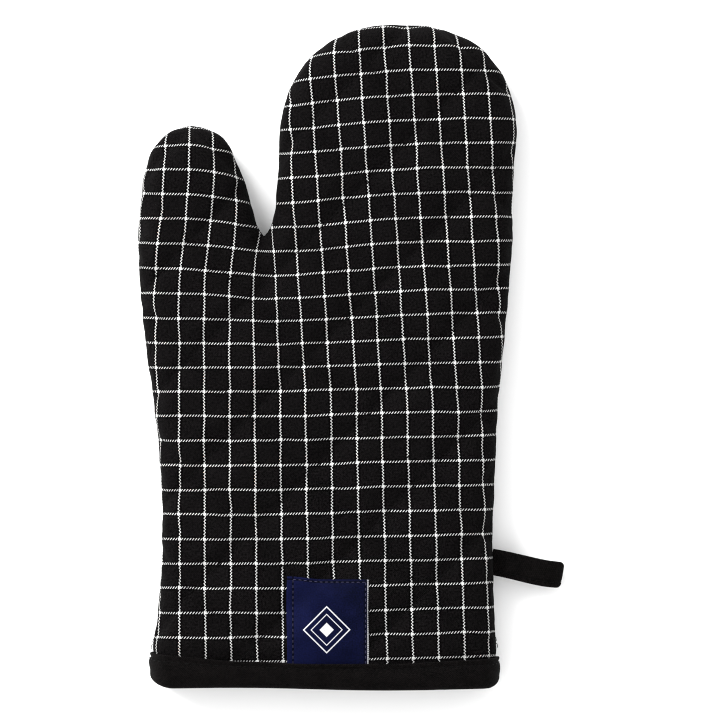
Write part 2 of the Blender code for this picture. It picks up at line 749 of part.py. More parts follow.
def teardrop(start, end, half_height, least):
    """A teardrop in side view, from its narrow start round its full end and back, as (reach, height)."""
    angles = np.linspace(0.0, 2 * math.pi, LOOP_POINTS + 1)[:-1] + math.pi / LOOP_POINTS
    reach = start + (end - start) * (1 - np.cos(angles)) / 2
    fullest = 4.0 / (3.0 * math.sqrt(3.0))
    height = half_height * np.sin(angles) * np.abs(np.sin(angles / 2)) / fullest
    growing = np.abs(height) < least
    near_start = np.cos(angles) > 0
    height = np.where(growing & near_start, np.sign(np.sin(angles)) * least, height)
    return reach, height


def loop_point(reach, height, across):
    """Where a point of the loop is: out along the drooping tape, above its middle, and across its width."""
    out = np.array([math.cos(LOOP_SIDEWAYS), -math.sin(LOOP_SIDEWAYS), -math.tan(LOOP_DROOP)])
    square = np.array([math.sin(LOOP_SIDEWAYS), math.cos(LOOP_SIDEWAYS), 0.0])
    along_seam = np.array([0.0, 1.0 / math.cos(LOOP_SIDEWAYS), 0.0])
    share = reach / LOOP_LENGTH
    root = np.array([LOOP_ROOT_X, LOOP_ROOT_Y, SEAM_HEIGHT + height])
    return root + reach * out + across * (along_seam * (1 - share) + square * share)


def loop_rings():
    """The tape's outer and inner outlines in side view."""
    outer = teardrop(0.0, LOOP_LENGTH, LOOP_HALF_HEIGHT, LOOP_ROOT_HALF)
    inner = teardrop(LOOP_HOLE_START, LOOP_LENGTH - LOOP_TAPE, LOOP_HALF_HEIGHT - LOOP_TAPE, LOOP_HOLE_BLUNT)
    outer[0][[0, -1]] = 0.0
    return outer, inner


def hanging_loop(hinge):
    """A tape folded back on itself, its two ends sewn together at the root."""
    vertices = []
    for across in (-LOOP_WIDTH / 2, LOOP_WIDTH / 2):
        for reach, height in loop_rings():
            vertices.extend(loop_point(r, h, across) for r, h in zip(reach, height))
    outer_low, inner_low, outer_high, inner_high = [LOOP_POINTS * index for index in range(4)]
    faces = []
    for index in range(LOOP_POINTS):
        after = (index + 1) % LOOP_POINTS
        faces.append((outer_low + index, outer_low + after, inner_low + after, inner_low + index))
        faces.append((outer_high + after, outer_high + index, inner_high + index, inner_high + after))
        faces.append((outer_low + after, outer_low + index, outer_high + index, outer_high + after))
        faces.append((inner_low + index, inner_low + after, inner_high + after, inner_high + index))
    return make_object("hanging_loop", vertices, faces, BLACK_TWILL_TAPE, tuple(hinge.location), hinge)


def loop_stitch(hinge):
    """The line of stitches along the open edge of the folded tape."""
    reach, height = loop_rings()[0]
    share = reach / LOOP_LENGTH
    upper = [index for index in range(LOOP_POINTS // 2) if LOOP_STITCH_START < share[index] < LOOP_STITCH_END]
    across = -LOOP_WIDTH / 2 + LOOP_STITCH_INSET
    places = [loop_point(reach[index], height[index], across) for index in upper]
    item = thread_along("loop_stitch", places, CLEARANCE, BLACK_THREAD)
    item.parent = hinge
    item.matrix_parent_inverse = hinge.matrix_world.inverted()
    return item


def loop_hinge():
    """The line on which the loop bends, just outside the side seam."""
    hinge = bpy.data.objects.new("loop_hinge", None)
    bpy.context.collection.objects.link(hinge)
    hinge.location = (LOOP_ROOT_X + LOOP_HINGE_OFFSET, LOOP_ROOT_Y, SEAM_HEIGHT)
    bpy.context.view_layer.update()
    return hinge


def build():
    clear_scene()
    seam = Seam()
    sheet = Sheet(seam)
    front = Half(seam, 1)
    back = Half(seam, -1)
    padded_half(sheet, front, "front")
    padded_half(sheet, back, "back")

    mouth = Mouth(sheet, front, back)
    cuff_binding(mouth)
    binding_stitch("binding_stitch_outer", mouth, "outside")
    binding_stitch("binding_stitch_inner", mouth, "inside")

    front_face = QuiltNet(seam, lambda plan: front.points(plan, pinch(plan))[:, 2], QUILT_EDGE_FRONT)
    front_face.build("quilting_thread_front", BLACK_THREAD)
    back_lining = QuiltNet(seam, lambda plan: inner_face(back, plan), QUILT_EDGE_BACK)
    back_lining.build("quilting_thread_back", BLACK_THREAD)
    seam_stitch(seam)

    maker_label(front)
    label_stitch(front)

    hinge = loop_hinge()
    hanging_loop(hinge)
    loop_stitch(hinge)


build()
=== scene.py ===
"""The looks of the quilted oven mitt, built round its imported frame.

Metres, +Z up, the same frame as the part: the mitt lies on its back, fingertips towards +Y and thumb
towards -X. Its outline is the part's own side seam. Other places come from it and from the frame's boxes.
"""

import math

import bpy
import numpy as np
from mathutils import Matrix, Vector, noise
from mathutils.bvhtree import BVHTree
from mathutils.geometry import delaunay_2d_cdt


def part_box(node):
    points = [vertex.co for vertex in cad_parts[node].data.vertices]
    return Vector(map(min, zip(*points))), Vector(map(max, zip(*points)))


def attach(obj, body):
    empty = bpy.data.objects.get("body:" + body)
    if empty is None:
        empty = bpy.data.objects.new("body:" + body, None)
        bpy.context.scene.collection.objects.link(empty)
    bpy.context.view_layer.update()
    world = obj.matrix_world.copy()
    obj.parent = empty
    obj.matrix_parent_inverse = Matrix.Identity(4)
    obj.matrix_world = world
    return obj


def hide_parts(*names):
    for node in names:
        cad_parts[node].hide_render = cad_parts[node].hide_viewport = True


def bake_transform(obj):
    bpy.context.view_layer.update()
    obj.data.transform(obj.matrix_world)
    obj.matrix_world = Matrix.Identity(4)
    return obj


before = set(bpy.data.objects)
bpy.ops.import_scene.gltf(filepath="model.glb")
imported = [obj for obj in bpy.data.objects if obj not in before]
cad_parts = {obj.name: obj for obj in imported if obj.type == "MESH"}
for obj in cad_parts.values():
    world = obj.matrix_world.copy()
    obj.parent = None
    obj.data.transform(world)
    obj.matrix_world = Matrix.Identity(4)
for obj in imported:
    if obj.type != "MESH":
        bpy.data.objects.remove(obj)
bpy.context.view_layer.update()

MM = 0.001

# ---- sizes taken from the frame
FRONT_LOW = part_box("outer_front_panel")[0]
BACK_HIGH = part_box("outer_back_panel")[1]
BINDING_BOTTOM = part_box("cuff_binding")[0].y
LABEL_LOW, LABEL_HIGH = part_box("maker_label")
LABEL_RIGHT = LABEL_HIGH.x + 0.2 * MM
SEAM_Z = (FRONT_LOW.z + BACK_HIGH.z) / 2
CUFF_Y = FRONT_LOW.y

# ---- the side seam, in millimetres; an arc is its fullness, its two end angles and its count of points
CUFF_RIGHT_X = 72.3
CUFF_LEFT_X = -97.4
HAND_SIDE = [(70.6, -133.6), (68.9, -124), (68.1, -108), (68.6, -60), (71.0, -15), (74.6, 22), (77.3, 60),
             (77.4, 80), (78.5, 97)]
FINGERTIP_CENTRE = (22.8, 103.0)
FINGERTIP_RADII = (56.7, 56.6)
FINGERTIP_ARCS = [(2.4, 6, 90, 8), (2.2, 102, 174, 7)]
THUMB_CROTCH = [(-34.9, 84), (-36.6, 69), (-39.4, 60.6), (-41.6, 58.1), (-43.8, 60.8), (-47.6, 71),
                (-51.0, 84)]
THUMB_TIP_CENTRE = (-76.6, 89.3)
THUMB_TIP_RADII = (21.7, 21.7)
THUMB_TIP_ARCS = [(2.0, 14, 93, 5), (1.82, 113, 172, 4)]
THUMB_SIDE = [(-100.3, 76), (-101.6, 53), (-99.8, 22), (-95.3, -14), (-91.5, -48), (-90.1, -74),
              (-91.3, -110), (-92.6, -123), (-95.2, -132.5)]
END_RUN_POINTS = 30

# ---- cross-section of the padded halves
EDGE_ZONE = 13.0 * MM
ROLL_WIDTH = 11.0 * MM
ROLL_FULLNESS = 2.2
FRONT_SHOULDER = 14.0 * MM
FRONT_CROWN = 5.0 * MM
CROWN_REACH = 16.0 * MM
SEAM_TUCK = 1.3 * MM
SEAM_TUCK_RISE = 3.2 * MM
EDGE_SWELL = 0.5 * MM
QUILTED_THIN = 4.5 * MM
QUILTED_FULL = 6.9 * MM
BOUND_WALL = 3.0 * MM
LEAST_WALL = 1.2 * MM
LINING_INSET = 3.6 * MM
FLATTENED = 0.3 * MM
LEAST_CLEARANCE = 0.02 * MM

# ---- quilting and creases
QUILT_PITCH = 56.0 * MM
QUILT_LINES = 6
QUILT_REACH = 120.0 * MM
QUILT_RISING_OFFSET = -20.3 * MM
QUILT_FALLING_OFFSET = -20.0 * MM
VALLEY_DEPTH = 2.7 * MM
VALLEY_WIDTH = 4.4 * MM
FALLING_DEPTH = 3.3 * MM
FALLING_WIDTH = 3.2 * MM
VALLEY_POWER = 1.2
PUFF_START = 9.0 * MM
CREASE_DEPTH = 3.8 * MM
CREASE_TOP = (-40.5 * MM, 58.0 * MM)
CREASE_WIDTH = 4.6 * MM
CREASE_LENGTH = 34.0 * MM
SWELL_FRAMES = 20
SWELL_CAP = 2.6 * MM
SWELLING = {"vertex_group_mass": "held", "quality": 6, "mass": 0.15, "tension_stiffness": 12,
            "compression_stiffness": 12, "shear_stiffness": 4, "bending_stiffness": 0.4,
            "use_pressure": True, "uniform_pressure_force": 4.0, "shrink_min": -0.012, "shrink_max": -0.012}

# ---- the cuff: the binding's edge, what it presses in, and the hem under it
BAND_MIDDLE_Y = -147.0 * MM
BAND_BOW = 4.2 * MM
BAND_HALF_WIDTH = 90.0 * MM
PINCH_START_Y = -116.0 * MM
BINDING_PINCH = 2.3 * MM
BINDING_GROOVE = 1.0 * MM
BINDING_GROOVE_REACH = 4.0 * MM
CORNER_ROUND_LEFT = 13.0 * MM
CORNER_LIFT_LEFT = 4.6 * MM
CORNER_ROUND_RIGHT = 4.4 * MM
CORNER_LIFT_RIGHT = 2.5 * MM
HEM_WAVE = 0.5 * MM
HEM_WAVE_LENGTH = 130.0 * MM
CLOTH_END_Y = -156.6 * MM
SQUEEZE_START_Y = -149.0 * MM
BINDING_THICKNESS = 1.3 * MM
BINDING_OUTER = -0.85 * MM
BINDING_INNER = -6.9 * MM
BINDING_FOLD_Y = BINDING_BOTTOM + (BINDING_OUTER - BINDING_INNER) / 2
BINDING_STITCH_DROP = 2.1 * MM
BINDING_LEG = 14 * MM
BINDING_WOBBLE = 0.45 * MM
RING_STEP = 1.3 * MM

# ---- the label
MOTIF_PLACE = (-11.5 * MM, -130.0 * MM)
LABEL_CORNER_RISE = 0.75 * MM
LABEL_TOP_FALL = 1.4 * MM
LABEL_FALL_SHARE = 0.45
LABEL_STITCH_LEFT = 3.0 * MM
LABEL_STITCH_RIGHT = 1.5 * MM
LABEL_STITCH_TOP = 1.35 * MM
SELVEDGE = 0.7 * MM
LABEL_COLUMNS = 66
LABEL_ROWS = 72
LABEL_CLOTH = 0.5 * MM
LABEL_TUCK_Y = -149.5 * MM
LABEL_SMOOTHINGS = 60

# ---- the hanging loop
LOOP_ROOT = (69.5 * MM, -98.4 * MM)
LOOP_START = -2.2 * MM
LOOP_LENGTH = 33.1 * MM
LOOP_WIDTH = 12.6 * MM
LOOP_TAPE = 1.15 * MM
LOOP_HALF_HEIGHT = 4.4 * MM
LOOP_SIDEWAYS = math.radians(10.4)
LOOP_DROOP = math.radians(8.0)
LOOP_STITCH_INSET = 2.4 * MM
LOOP_CORNER = 2.4 * MM
LOOP_STEPS = 170
LOOP_CELLS = 16

# ---- stitches
STITCH_LENGTH = 3.1 * MM
STITCH_GAP = 0.7 * MM
STITCH_SINK = 0.35 * MM
STITCH_PROUD = 0.10 * MM
STITCH_RINGS = 7
THREAD_RADIUS = 0.2 * MM
THREAD_SIDES = 6
THREAD_ANGLES = np.linspace(0, 2 * math.pi, THREAD_SIDES, endpoint=False)

# ---- mesh density
EDGE_RINGS = 12
STATION_STEP = 2.4 * MM
STATION_SAG = 0.02 * MM
GRID_STEP = 2.5 * MM
CURVE_STEP = 0.5 * MM
BLOCK = 2000
RAY_START = 0.1

# ---- the check and the way the cloth lies
CHECK_ACROSS = 12.09 * MM
CHECK_ALONG = 11.75 * MM
CHECK_ORIGIN = (-9.63 * MM, -15.0 * MM)
FANNING = 0.2
GRAIN_WANDER = 0.45 * MM
FRONT_EDGE_EASE = 0.5
LEVEL_START_Y = -92.0 * MM

# ---- the view, as wide as the scene is where the camera is focused
FRAME_WIDTH = 345.6 * MM
FRAME_CENTRE = (4.42 * MM, -1.08 * MM)
LENS = 300.0
SENSOR = 36.0
FOCUS_PLANE_Z = 16.0 * MM
LIGHT_PLACE = (-1.32, 1.28, 1.2)
LIGHT_SIZE = 1.2
LIGHT_POWER = 95.0
SURROUND = 1.48


# ======== small helpers

def smooth_step(value):
    """Ease from 0 to 1 as the value goes from 0 to 1."""
    part = np.clip(value, 0.0, 1.0)
    return part * part * (3.0 - 2.0 * part)


def wander(points, size, seed):
    """Smooth noise between about -1 and 1 at each point, with bumps of the given size."""
    shift = Vector((seed * 17.3, seed * 5.1, seed * 9.7))
    return np.array([noise.noise(Vector(point) / size + shift) for point in points])


def unit(vectors):
    """The same directions, each of length 1."""
    return vectors / np.linalg.norm(vectors, axis=1)[:, None]


def running_sum(steps):
    return np.concatenate([[0.0], np.cumsum(steps)])


def travelled(points):
    """How far along a path each of its points is."""
    return running_sum(np.linalg.norm(np.diff(points, axis=0), axis=1))


def sample(places, along, values):
    """The rows of values at the given places along a path."""
    return np.column_stack([np.interp(places, along, column) for column in values.T])


def true_runs(flags):
    """The indices of each unbroken run of true flags."""
    runs = np.split(np.arange(len(flags)), np.flatnonzero(np.diff(flags.astype(int))) + 1)
    return [run for run in runs if flags[run[0]]]


# ======== the side seam

def arc_points(centre, radii, fullness, start_deg, end_deg, count):
    """Points on a stretch of a squared-off ellipse; a fullness of 2 is a true ellipse."""
    angles = np.radians(np.linspace(start_deg, end_deg, count))
    power = 2.0 / fullness
    across = np.sign(np.cos(angles)) * np.abs(np.cos(angles)) ** power
    along = np.abs(np.sin(angles)) ** power
    return np.column_stack([centre[0] + radii[0] * across, centre[1] + radii[1] * along])


def smooth_curve(points, start_tangent, end_tangent):
    """A smooth curve through the points, sampled every CURVE_STEP."""
    gaps = np.linalg.norm(np.diff(points, axis=0), axis=1)
    slopes = np.diff(points, axis=0) / gaps[:, None]
    tangents = np.empty_like(points)
    weight = (gaps[:-1] / (gaps[:-1] + gaps[1:]))[:, None]
    tangents[1:-1] = slopes[:-1] * (1 - weight) + slopes[1:] * weight
    tangents[0] = start_tangent
    tangents[-1] = end_tangent
    samples = []
    for index, gap in enumerate(gaps):
        part = np.arange(0.0, 1.0, CURVE_STEP / gap)[:, None]
        samples.append((2 * part**3 - 3 * part**2 + 1) * points[index]
                       + (part**3 - 2 * part**2 + part) * gap * tangents[index]
                       + (-2 * part**3 + 3 * part**2) * points[index + 1]
                       + (part**3 - part**2) * gap * tangents[index + 1])
    samples.append(points[-1:])
    return np.vstack(samples)


def band_top(x):
    """Height up the cuff that the binding's edge reaches; it bows down towards the middle."""
    return BAND_MIDDLE_Y + BAND_BOW * (x / BAND_HALF_WIDTH) ** 2


def seam_curve():
    """The side seam, anticlockwise from the cuff's right end, with a straight run below each of its ends."""
    fingertip = [arc_points(FINGERTIP_CENTRE, FINGERTIP_RADII, *arc) for arc in FINGERTIP_ARCS]
    thumb_tip = [arc_points(THUMB_TIP_CENTRE, THUMB_TIP_RADII, *arc) for arc in THUMB_TIP_ARCS]
    right_end, left_end = [[(x, band_top(x * MM) / MM)] for x in (CUFF_RIGHT_X, CUFF_LEFT_X)]
    knots = [right_end, HAND_SIDE, *fingertip, THUMB_CROTCH, *thumb_tip, THUMB_SIDE, left_end]
    curve = smooth_curve(np.vstack(knots) * MM, (0.0, 1.0), (0.0, -1.0))
    right_run = np.linspace((curve[0][0], CUFF_Y), curve[0], END_RUN_POINTS)[:-1]
    left_run = np.linspace(curve[-1], (curve[-1][0], CUFF_Y), END_RUN_POINTS)[1:]
    return np.vstack([right_run, curve, left_run])


class Seam:
    """The side seam as a line of stations, closer together where it bends."""

    def __init__(self):
        self.curve = seam_curve()
        steps = np.linalg.norm(np.diff(self.curve, axis=0), axis=1)
        along = running_sum(steps)
        heading = np.unwrap(np.arctan2(*np.gradient(self.curve, along, axis=0).T[::-1]))
        bend = np.abs(np.gradient(heading, along))
        bend = np.convolve(np.pad(bend, 4, mode="edge"), np.ones(9) / 9, mode="valid")
        density = np.maximum(1.0 / STATION_STEP, np.sqrt(bend / (8.0 * STATION_SAG)))
        so_far = running_sum(steps * (density[:-1] + density[1:]) / 2)
        places = np.interp(np.linspace(0, so_far[-1], int(so_far[-1]) + 1), so_far, along)
        self.points = sample(places, along, self.curve)
        angles = np.interp(places, along, heading)
        self.inward = np.column_stack([-np.sin(angles), np.cos(angles)])

    def distance(self, points):
        """Distance from the seam, worked out a block at a time."""
        result = np.empty(len(points))
        for start in range(0, len(points), BLOCK):
            offsets = points[start:start + BLOCK, None, :] - self.curve[None, :, :]
            result[start:start + BLOCK] = np.sqrt((offsets**2).sum(axis=2).min(axis=1))
        return result

    def inside(self, places):
        """Whether each place is inside the outline, by counting crossings to its right."""
        result = np.zeros(len(places), dtype=bool)
        for (x0, y0), (x1, y1) in zip(self.curve, np.roll(self.curve, -1, axis=0)):
            spans = (y0 > places[:, 1]) != (y1 > places[:, 1])
            if spans.any():
                crossing = x0 + (places[:, 1] - y0) * (x1 - x0) / (y1 - y0)
                result ^= spans & (places[:, 0] < crossing)
        return result


# ======== quilting lines

def line_distance(across, offset):
    """Distance from each place to the nearest of one set of parallel quilting lines."""
    return np.abs((across - offset + QUILT_PITCH / 2) % QUILT_PITCH - QUILT_PITCH / 2) / math.sqrt(2)


def quilt_distances(plan):
    """Distance from each place to the nearest rising line, and to the nearest falling one."""
    rising = line_distance(plan[:, 0] - plan[:, 1], QUILT_RISING_OFFSET)
    falling = line_distance(plan[:, 0] + plan[:, 1], QUILT_FALLING_OFFSET)
    return rising, falling


def quilt_distance(plan):
    """Distance from each place to the nearest quilting line."""
    return np.minimum(*quilt_distances(plan))


def valley(plan):
    """How deep the quilting draws the cloth in; the falling lines are a little narrower and deeper."""
    rising, falling = quilt_distances(plan)
    return np.maximum(VALLEY_DEPTH * np.exp(-(rising / VALLEY_WIDTH) ** VALLEY_POWER),
                      FALLING_DEPTH * np.exp(-(falling / FALLING_WIDTH) ** VALLEY_POWER))


def quilt_lines(seam, step, margin):
    """Stretches of quilting line inside the mitt, each a row of places at least the margin from the seam."""
    stretches = []
    for offset, sign in ((QUILT_RISING_OFFSET, 1.0), (QUILT_FALLING_OFFSET, -1.0)):
        for index in range(-QUILT_LINES, QUILT_LINES + 1):
            x = np.arange(-QUILT_REACH, QUILT_REACH, step / math.sqrt(2))
            line = np.column_stack([x, sign * (x - (offset + index * QUILT_PITCH))])
            good = seam.inside(line) & (line[:, 1] > CUFF_Y)
            good[good] = seam.distance(line[good]) > margin
            stretches.extend(line[run] for run in true_runs(good) if len(run) > 2)
    return stretches


# ======== the pattern of a panel

def add_chain(places, edges, line):
    """Add a line of places to a pattern, each joined to the next."""
    first = len(places)
    places.extend(map(tuple, line))
    edges.extend((index, index + 1) for index in range(first, len(places) - 1))


class Pattern:
    """A panel's flat pattern cut into triangles, finer where the seam bends and along the quilting lines."""

    def __init__(self, seam):
        self.seam = seam
        places = []
        edges = []
        ring_size = len(seam.points)
        for ring in range(EDGE_RINGS + 1):
            add_chain(places, edges, seam.points + EDGE_ZONE * ring / EDGE_RINGS * seam.inward)
        left_x = places[(EDGE_RINGS + 1) * ring_size - 1][0]
        right_x = places[EDGE_RINGS * ring_size][0]
        first = len(places)
        cuff_count = int((right_x - left_x) / GRID_STEP)
        places.extend((x, CUFF_Y) for x in np.linspace(left_x, right_x, cuff_count)[1:-1])
        left_column = [ring * ring_size + ring_size - 1 for ring in range(EDGE_RINGS + 1)]
        right_column = [ring * ring_size for ring in range(EDGE_RINGS, -1, -1)]
        cuff_row = left_column + list(range(first, len(places))) + right_column
        edges.extend(zip(cuff_row[:-1], cuff_row[1:]))
        for line in quilt_lines(seam, 2.0 * MM, EDGE_ZONE + 0.8 * MM):
            add_chain(places, edges, line[line[:, 1] > CUFF_Y + 1.0 * MM])
        places.extend(map(tuple, self.grid()))
        result = delaunay_2d_cdt([Vector(place) for place in places], edges, [], 1, 1e-7)
        self.plan = np.array([tuple(vertex) for vertex in result[0]])
        self.triangles = np.array([tuple(face) for face in result[2]])
        self.find_rings(result[3], ring_size)

    def grid(self):
        """Places spread over the middle, clear of the edge rings and the quilting lines."""
        low = self.seam.curve.min(axis=0)
        high = self.seam.curve.max(axis=0)
        rows = np.arange(low[1] + GRID_STEP, high[1], GRID_STEP * math.sqrt(3) / 2)
        columns = np.arange(low[0], high[0], GRID_STEP)
        places = np.array([(x + GRID_STEP / 2 * (row % 2), y) for row, y in enumerate(rows) for x in columns])
        places = places[self.seam.inside(places)]
        places = places[quilt_distance(places) > GRID_STEP * 0.45]
        return places[self.seam.distance(places) > EDGE_ZONE + GRID_STEP * 0.5]

    def find_rings(self, origins, ring_size):
        """Each vertex's inset from the seam, and the station and inward direction of those on a ring."""
        self.inset = np.empty(len(self.plan))
        self.station = np.full(len(self.plan), -1)
        for vertex, sources in enumerate(origins):
            ring_sources = [source for source in sources if source < (EDGE_RINGS + 1) * ring_size]
            if ring_sources:
                self.inset[vertex] = EDGE_ZONE * (ring_sources[0] // ring_size) / EDGE_RINGS
                self.station[vertex] = ring_sources[0] % ring_size
        self.on_ring = self.station >= 0
        self.inset[~self.on_ring] = self.seam.distance(self.plan[~self.on_ring])
        self.inward = np.where(self.on_ring[:, None], self.seam.inward[self.station], 0.0)

    def at_inset(self, inset):
        """The pattern in plan, with each vertex on a ring moved to the given inset from the seam."""
        moved = self.seam.points[self.station] + inset[:, None] * self.inward
        return np.where(self.on_ring[:, None], moved, self.plan)


# ======== shapes of the two halves

def crown(inset):
    """How far the front rises above its shoulder towards the middle."""
    return FRONT_CROWN * (1 - np.exp(-inset / CROWN_REACH))


def under_binding(y):
    """1 under the binding, easing to 0 up on the hand."""
    return smooth_step((PINCH_START_Y - y) / (PINCH_START_Y - BAND_MIDDLE_Y))


def pinch(y):
    """How far the binding presses the outer cloth in."""
    return BINDING_PINCH * under_binding(y)


def edge_profile(side):
    """The outer face's cross-section near the seam: insets, rises, and the length of cloth up to each."""
    height = FRONT_SHOULDER if side > 0 else SEAM_Z
    lift = SEAM_TUCK_RISE if side > 0 else SEAM_TUCK_RISE * 0.8
    power = 2.0 / ROLL_FULLNESS
    angle = np.linspace(0.0, math.pi / 2, 60)
    tuck = np.linspace(0.0, 1.0, 16)[:-1]
    tuck_inset = (SEAM_TUCK + EDGE_SWELL) * (1 - np.sin(tuck * math.pi / 2)) ** 1.4 - EDGE_SWELL
    roll_inset = (ROLL_WIDTH + EDGE_SWELL) * (1 - np.cos(angle) ** power) - EDGE_SWELL
    roll_rise = lift + (height - lift) * np.sin(angle) ** power
    inset = np.concatenate([tuck_inset, roll_inset, np.linspace(ROLL_WIDTH, EDGE_ZONE, 6)[1:]])
    rise = np.concatenate([tuck * lift, roll_rise, np.full(5, height)])
    if side > 0:
        rise = rise + crown(inset)
    return inset, rise, running_sum(np.hypot(np.diff(inset), np.diff(rise)))


class Half:
    """One padded half before quilting: its outer cloth's place in space and on the flat cloth."""

    def __init__(self, pattern, side):
        self.pattern = pattern
        self.side = side
        profile_inset, profile_rise, length = edge_profile(side)
        part = np.clip(pattern.inset / EDGE_ZONE, 0.0, 1.0) * length[-1]
        rise = np.interp(part, length, profile_rise)
        if side > 0:
            middle = pattern.inset > EDGE_ZONE
            rise[middle] = FRONT_SHOULDER + crown(pattern.inset[middle])
        self.plan = pattern.at_inset(np.interp(part, length, profile_inset))
        self.base = np.column_stack([self.plan, SEAM_Z + side * rise])
        self.cloth = pattern.at_inset(EDGE_ZONE - (length[-1] - part))
        self.outward = self.normals()
        self.faces = pattern.triangles if side > 0 else pattern.triangles[:, ::-1]

    def normals(self):
        """Vertex normals that point out of this half's outer face."""
        corners = self.base[self.pattern.triangles]
        face = np.cross(corners[:, 1] - corners[:, 0], corners[:, 2] - corners[:, 0])
        total = np.zeros_like(self.base)
        for corner in range(3):
            np.add.at(total, self.pattern.triangles[:, corner], face)
        return unit(total) * self.side

    def cut_size(self):
        """The flat cloth's width and length, and its area."""
        corners = self.cloth[self.pattern.triangles]
        first = corners[:, 1] - corners[:, 0]
        second = corners[:, 2] - corners[:, 0]
        area = float(np.abs(first[:, 0] * second[:, 1] - first[:, 1] * second[:, 0]).sum() / 2)
        width, length = np.ptp(self.cloth, axis=0)
        return (float(width), float(length)), area


def lean(points):
    """How far the cloth leans across the mitt: left on the hand, right on the thumb and at the cuff."""
    x, y = points.T
    above = np.maximum(y + 15 * MM, 0.0)
    below = np.minimum(y + 15 * MM, 0.0)
    half_width = 25 * MM - 21 * MM * smooth_step((y - 20 * MM) / (40 * MM))
    towards_hand = smooth_step(0.5 + (x + 40 * MM) / (2 * half_width))
    thumb = 4.8 * MM * smooth_step((y - 28 * MM) / (62 * MM))
    fanned = -FANNING * (x + 92 * MM) * below
    return thumb * (1 - towards_hand) - 0.065 * above * towards_hand + fanned


def dip(points):
    """How far the cloth is drawn down towards the thumb's crotch."""
    x, y = points.T
    from_crotch = (x + 34 * MM) / np.where(x > -34 * MM, 42 * MM, 32 * MM)
    strength = 0.6 * MM + 4.2 * MM * smooth_step((y + 18 * MM) / (78 * MM))
    return strength * np.exp(-from_crotch**2)


def front_weave(points):
    """Coordinates on the woven cloth for places on the front, in metres from a crossing of the check."""
    x, y = points.T
    slope = 0.0166 - 0.014 * smooth_step((y - 10 * MM) / (60 * MM))
    flat = np.column_stack([points, np.zeros(len(points))])
    strayed = [GRAIN_WANDER * wander(flat, 15 * MM, seed) for seed in (21, 22)]
    across = x - lean(points) - CHECK_ORIGIN[0] + strayed[0]
    along = y - slope * (x + 9.7 * MM) + dip(points) - CHECK_ORIGIN[1] + strayed[1]
    return np.column_stack([across, along])


def back_weave(points):
    """Coordinates on the woven cloth for places on the back, which was cut a little off the grain."""
    turn = math.radians(-1.6)
    across = points[:, 0] * math.cos(turn) - points[:, 1] * math.sin(turn) + 3.1 * MM
    along = points[:, 0] * math.sin(turn) + points[:, 1] * math.cos(turn) + 5.4 * MM
    return np.column_stack([across, along])


# ======== meshes

def mesh_object(name, vertices, faces, material, weave=None):
    """A mesh object; its weave's coordinates, one row a vertex or one a face corner, become its UV map."""
    mesh = bpy.data.meshes.new(name)
    mesh.from_pydata([tuple(vertex) for vertex in vertices], [], [tuple(map(int, face)) for face in faces])
    mesh.validate()
    if weave is not None:
        weave = np.asarray(weave, dtype=np.float32)
        if len(weave) == len(mesh.vertices):
            corners = np.empty(len(mesh.loops), dtype=np.int64)
            mesh.loops.foreach_get("vertex_index", corners)
            weave = weave[corners]
        mesh.uv_layers.new(name="weave").data.foreach_set("uv", weave.ravel())
    mesh.shade_smooth()
    mesh.materials.append(material)
    item = bpy.data.objects.new(name, mesh)
    bpy.context.scene.collection.objects.link(item)
    return item


def shut_solid(name, upper, lower, triangles, material, weave=None):
    """A closed solid between two faces that share one set of triangles."""
    count = len(upper)
    faces = [tuple(face) for face in triangles]
    faces += [(a + count, c + count, b + count) for a, b, c in triangles]
    directed = {(a, b) for face in triangles for a, b in zip(face, np.roll(face, -1))}
    rim = [(a, b) for a, b in directed if (b, a) not in directed]
    faces += [(b, a, a + count, b + count) for a, b in sorted(rim)]
    return mesh_object(name, np.vstack([upper, lower]), faces, material, weave)


def tube_faces(rings, count, first=0, looped=False):
    """Faces between rings of vertices: a looped tube's last ring joins its first, another's ends are shut."""
    faces = []
    for ring in range(rings if looped else rings - 1):
        low = first + ring * count
        high = first + (ring + 1) % rings * count
        for side in range(count):
            after = (side + 1) % count
            faces.append((low + side, low + after, high + after, high + side))
    if not looped:
        last = first + (rings - 1) * count
        faces.append(tuple(reversed(range(first, first + count))))
        faces.append(tuple(range(last, last + count)))
    return faces


def own(item, body, slot, *nodes):
    """Tie a finished piece to its body and hide the CAD nodes that it stands for; the slot is not used."""
    if body is not None:
        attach(item, body)
    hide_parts(*nodes)
    return item


def subdivide(item):
    """Smooth a mesh by one level of subdivision."""
    modifier = item.modifiers.new("finer", "SUBSURF")
    modifier.levels = 1
    modifier.render_levels = 1
    modifier.boundary_smooth = "PRESERVE_CORNERS"
    modifier.use_limit_surface = False
    depsgraph = bpy.context.evaluated_depsgraph_get()
    mesh = bpy.data.meshes.new_from_object(item.evaluated_get(depsgraph), depsgraph=depsgraph)
    old = item.data
    item.modifiers.clear()
    item.data = mesh
    bpy.data.meshes.remove(old)
    mesh.name = item.name


def coordinates(item):
    """All vertex positions of a mesh."""
    points = np.empty(len(item.data.vertices) * 3, dtype=np.float32)
    item.data.vertices.foreach_get("co", points)
    return points.reshape(-1, 3).astype(float)


def move_vertices(item, points):
    item.data.vertices.foreach_set("co", np.asarray(points, dtype=np.float32).ravel())
    item.data.update()


# ======== materials

class Term:
    """A value worked out by a material's nodes; arithmetic on it adds nodes."""

    def __init__(self, graph, socket):
        self.graph = graph
        self.socket = socket

    def __add__(self, other):
        return self.graph.math("ADD", self, other)

    def __sub__(self, other):
        return self.graph.math("SUBTRACT", self, other)

    def __mul__(self, other):
        return self.graph.math("MULTIPLY", self, other)

    def __abs__(self):
        return self.graph.math("ABSOLUTE", self)


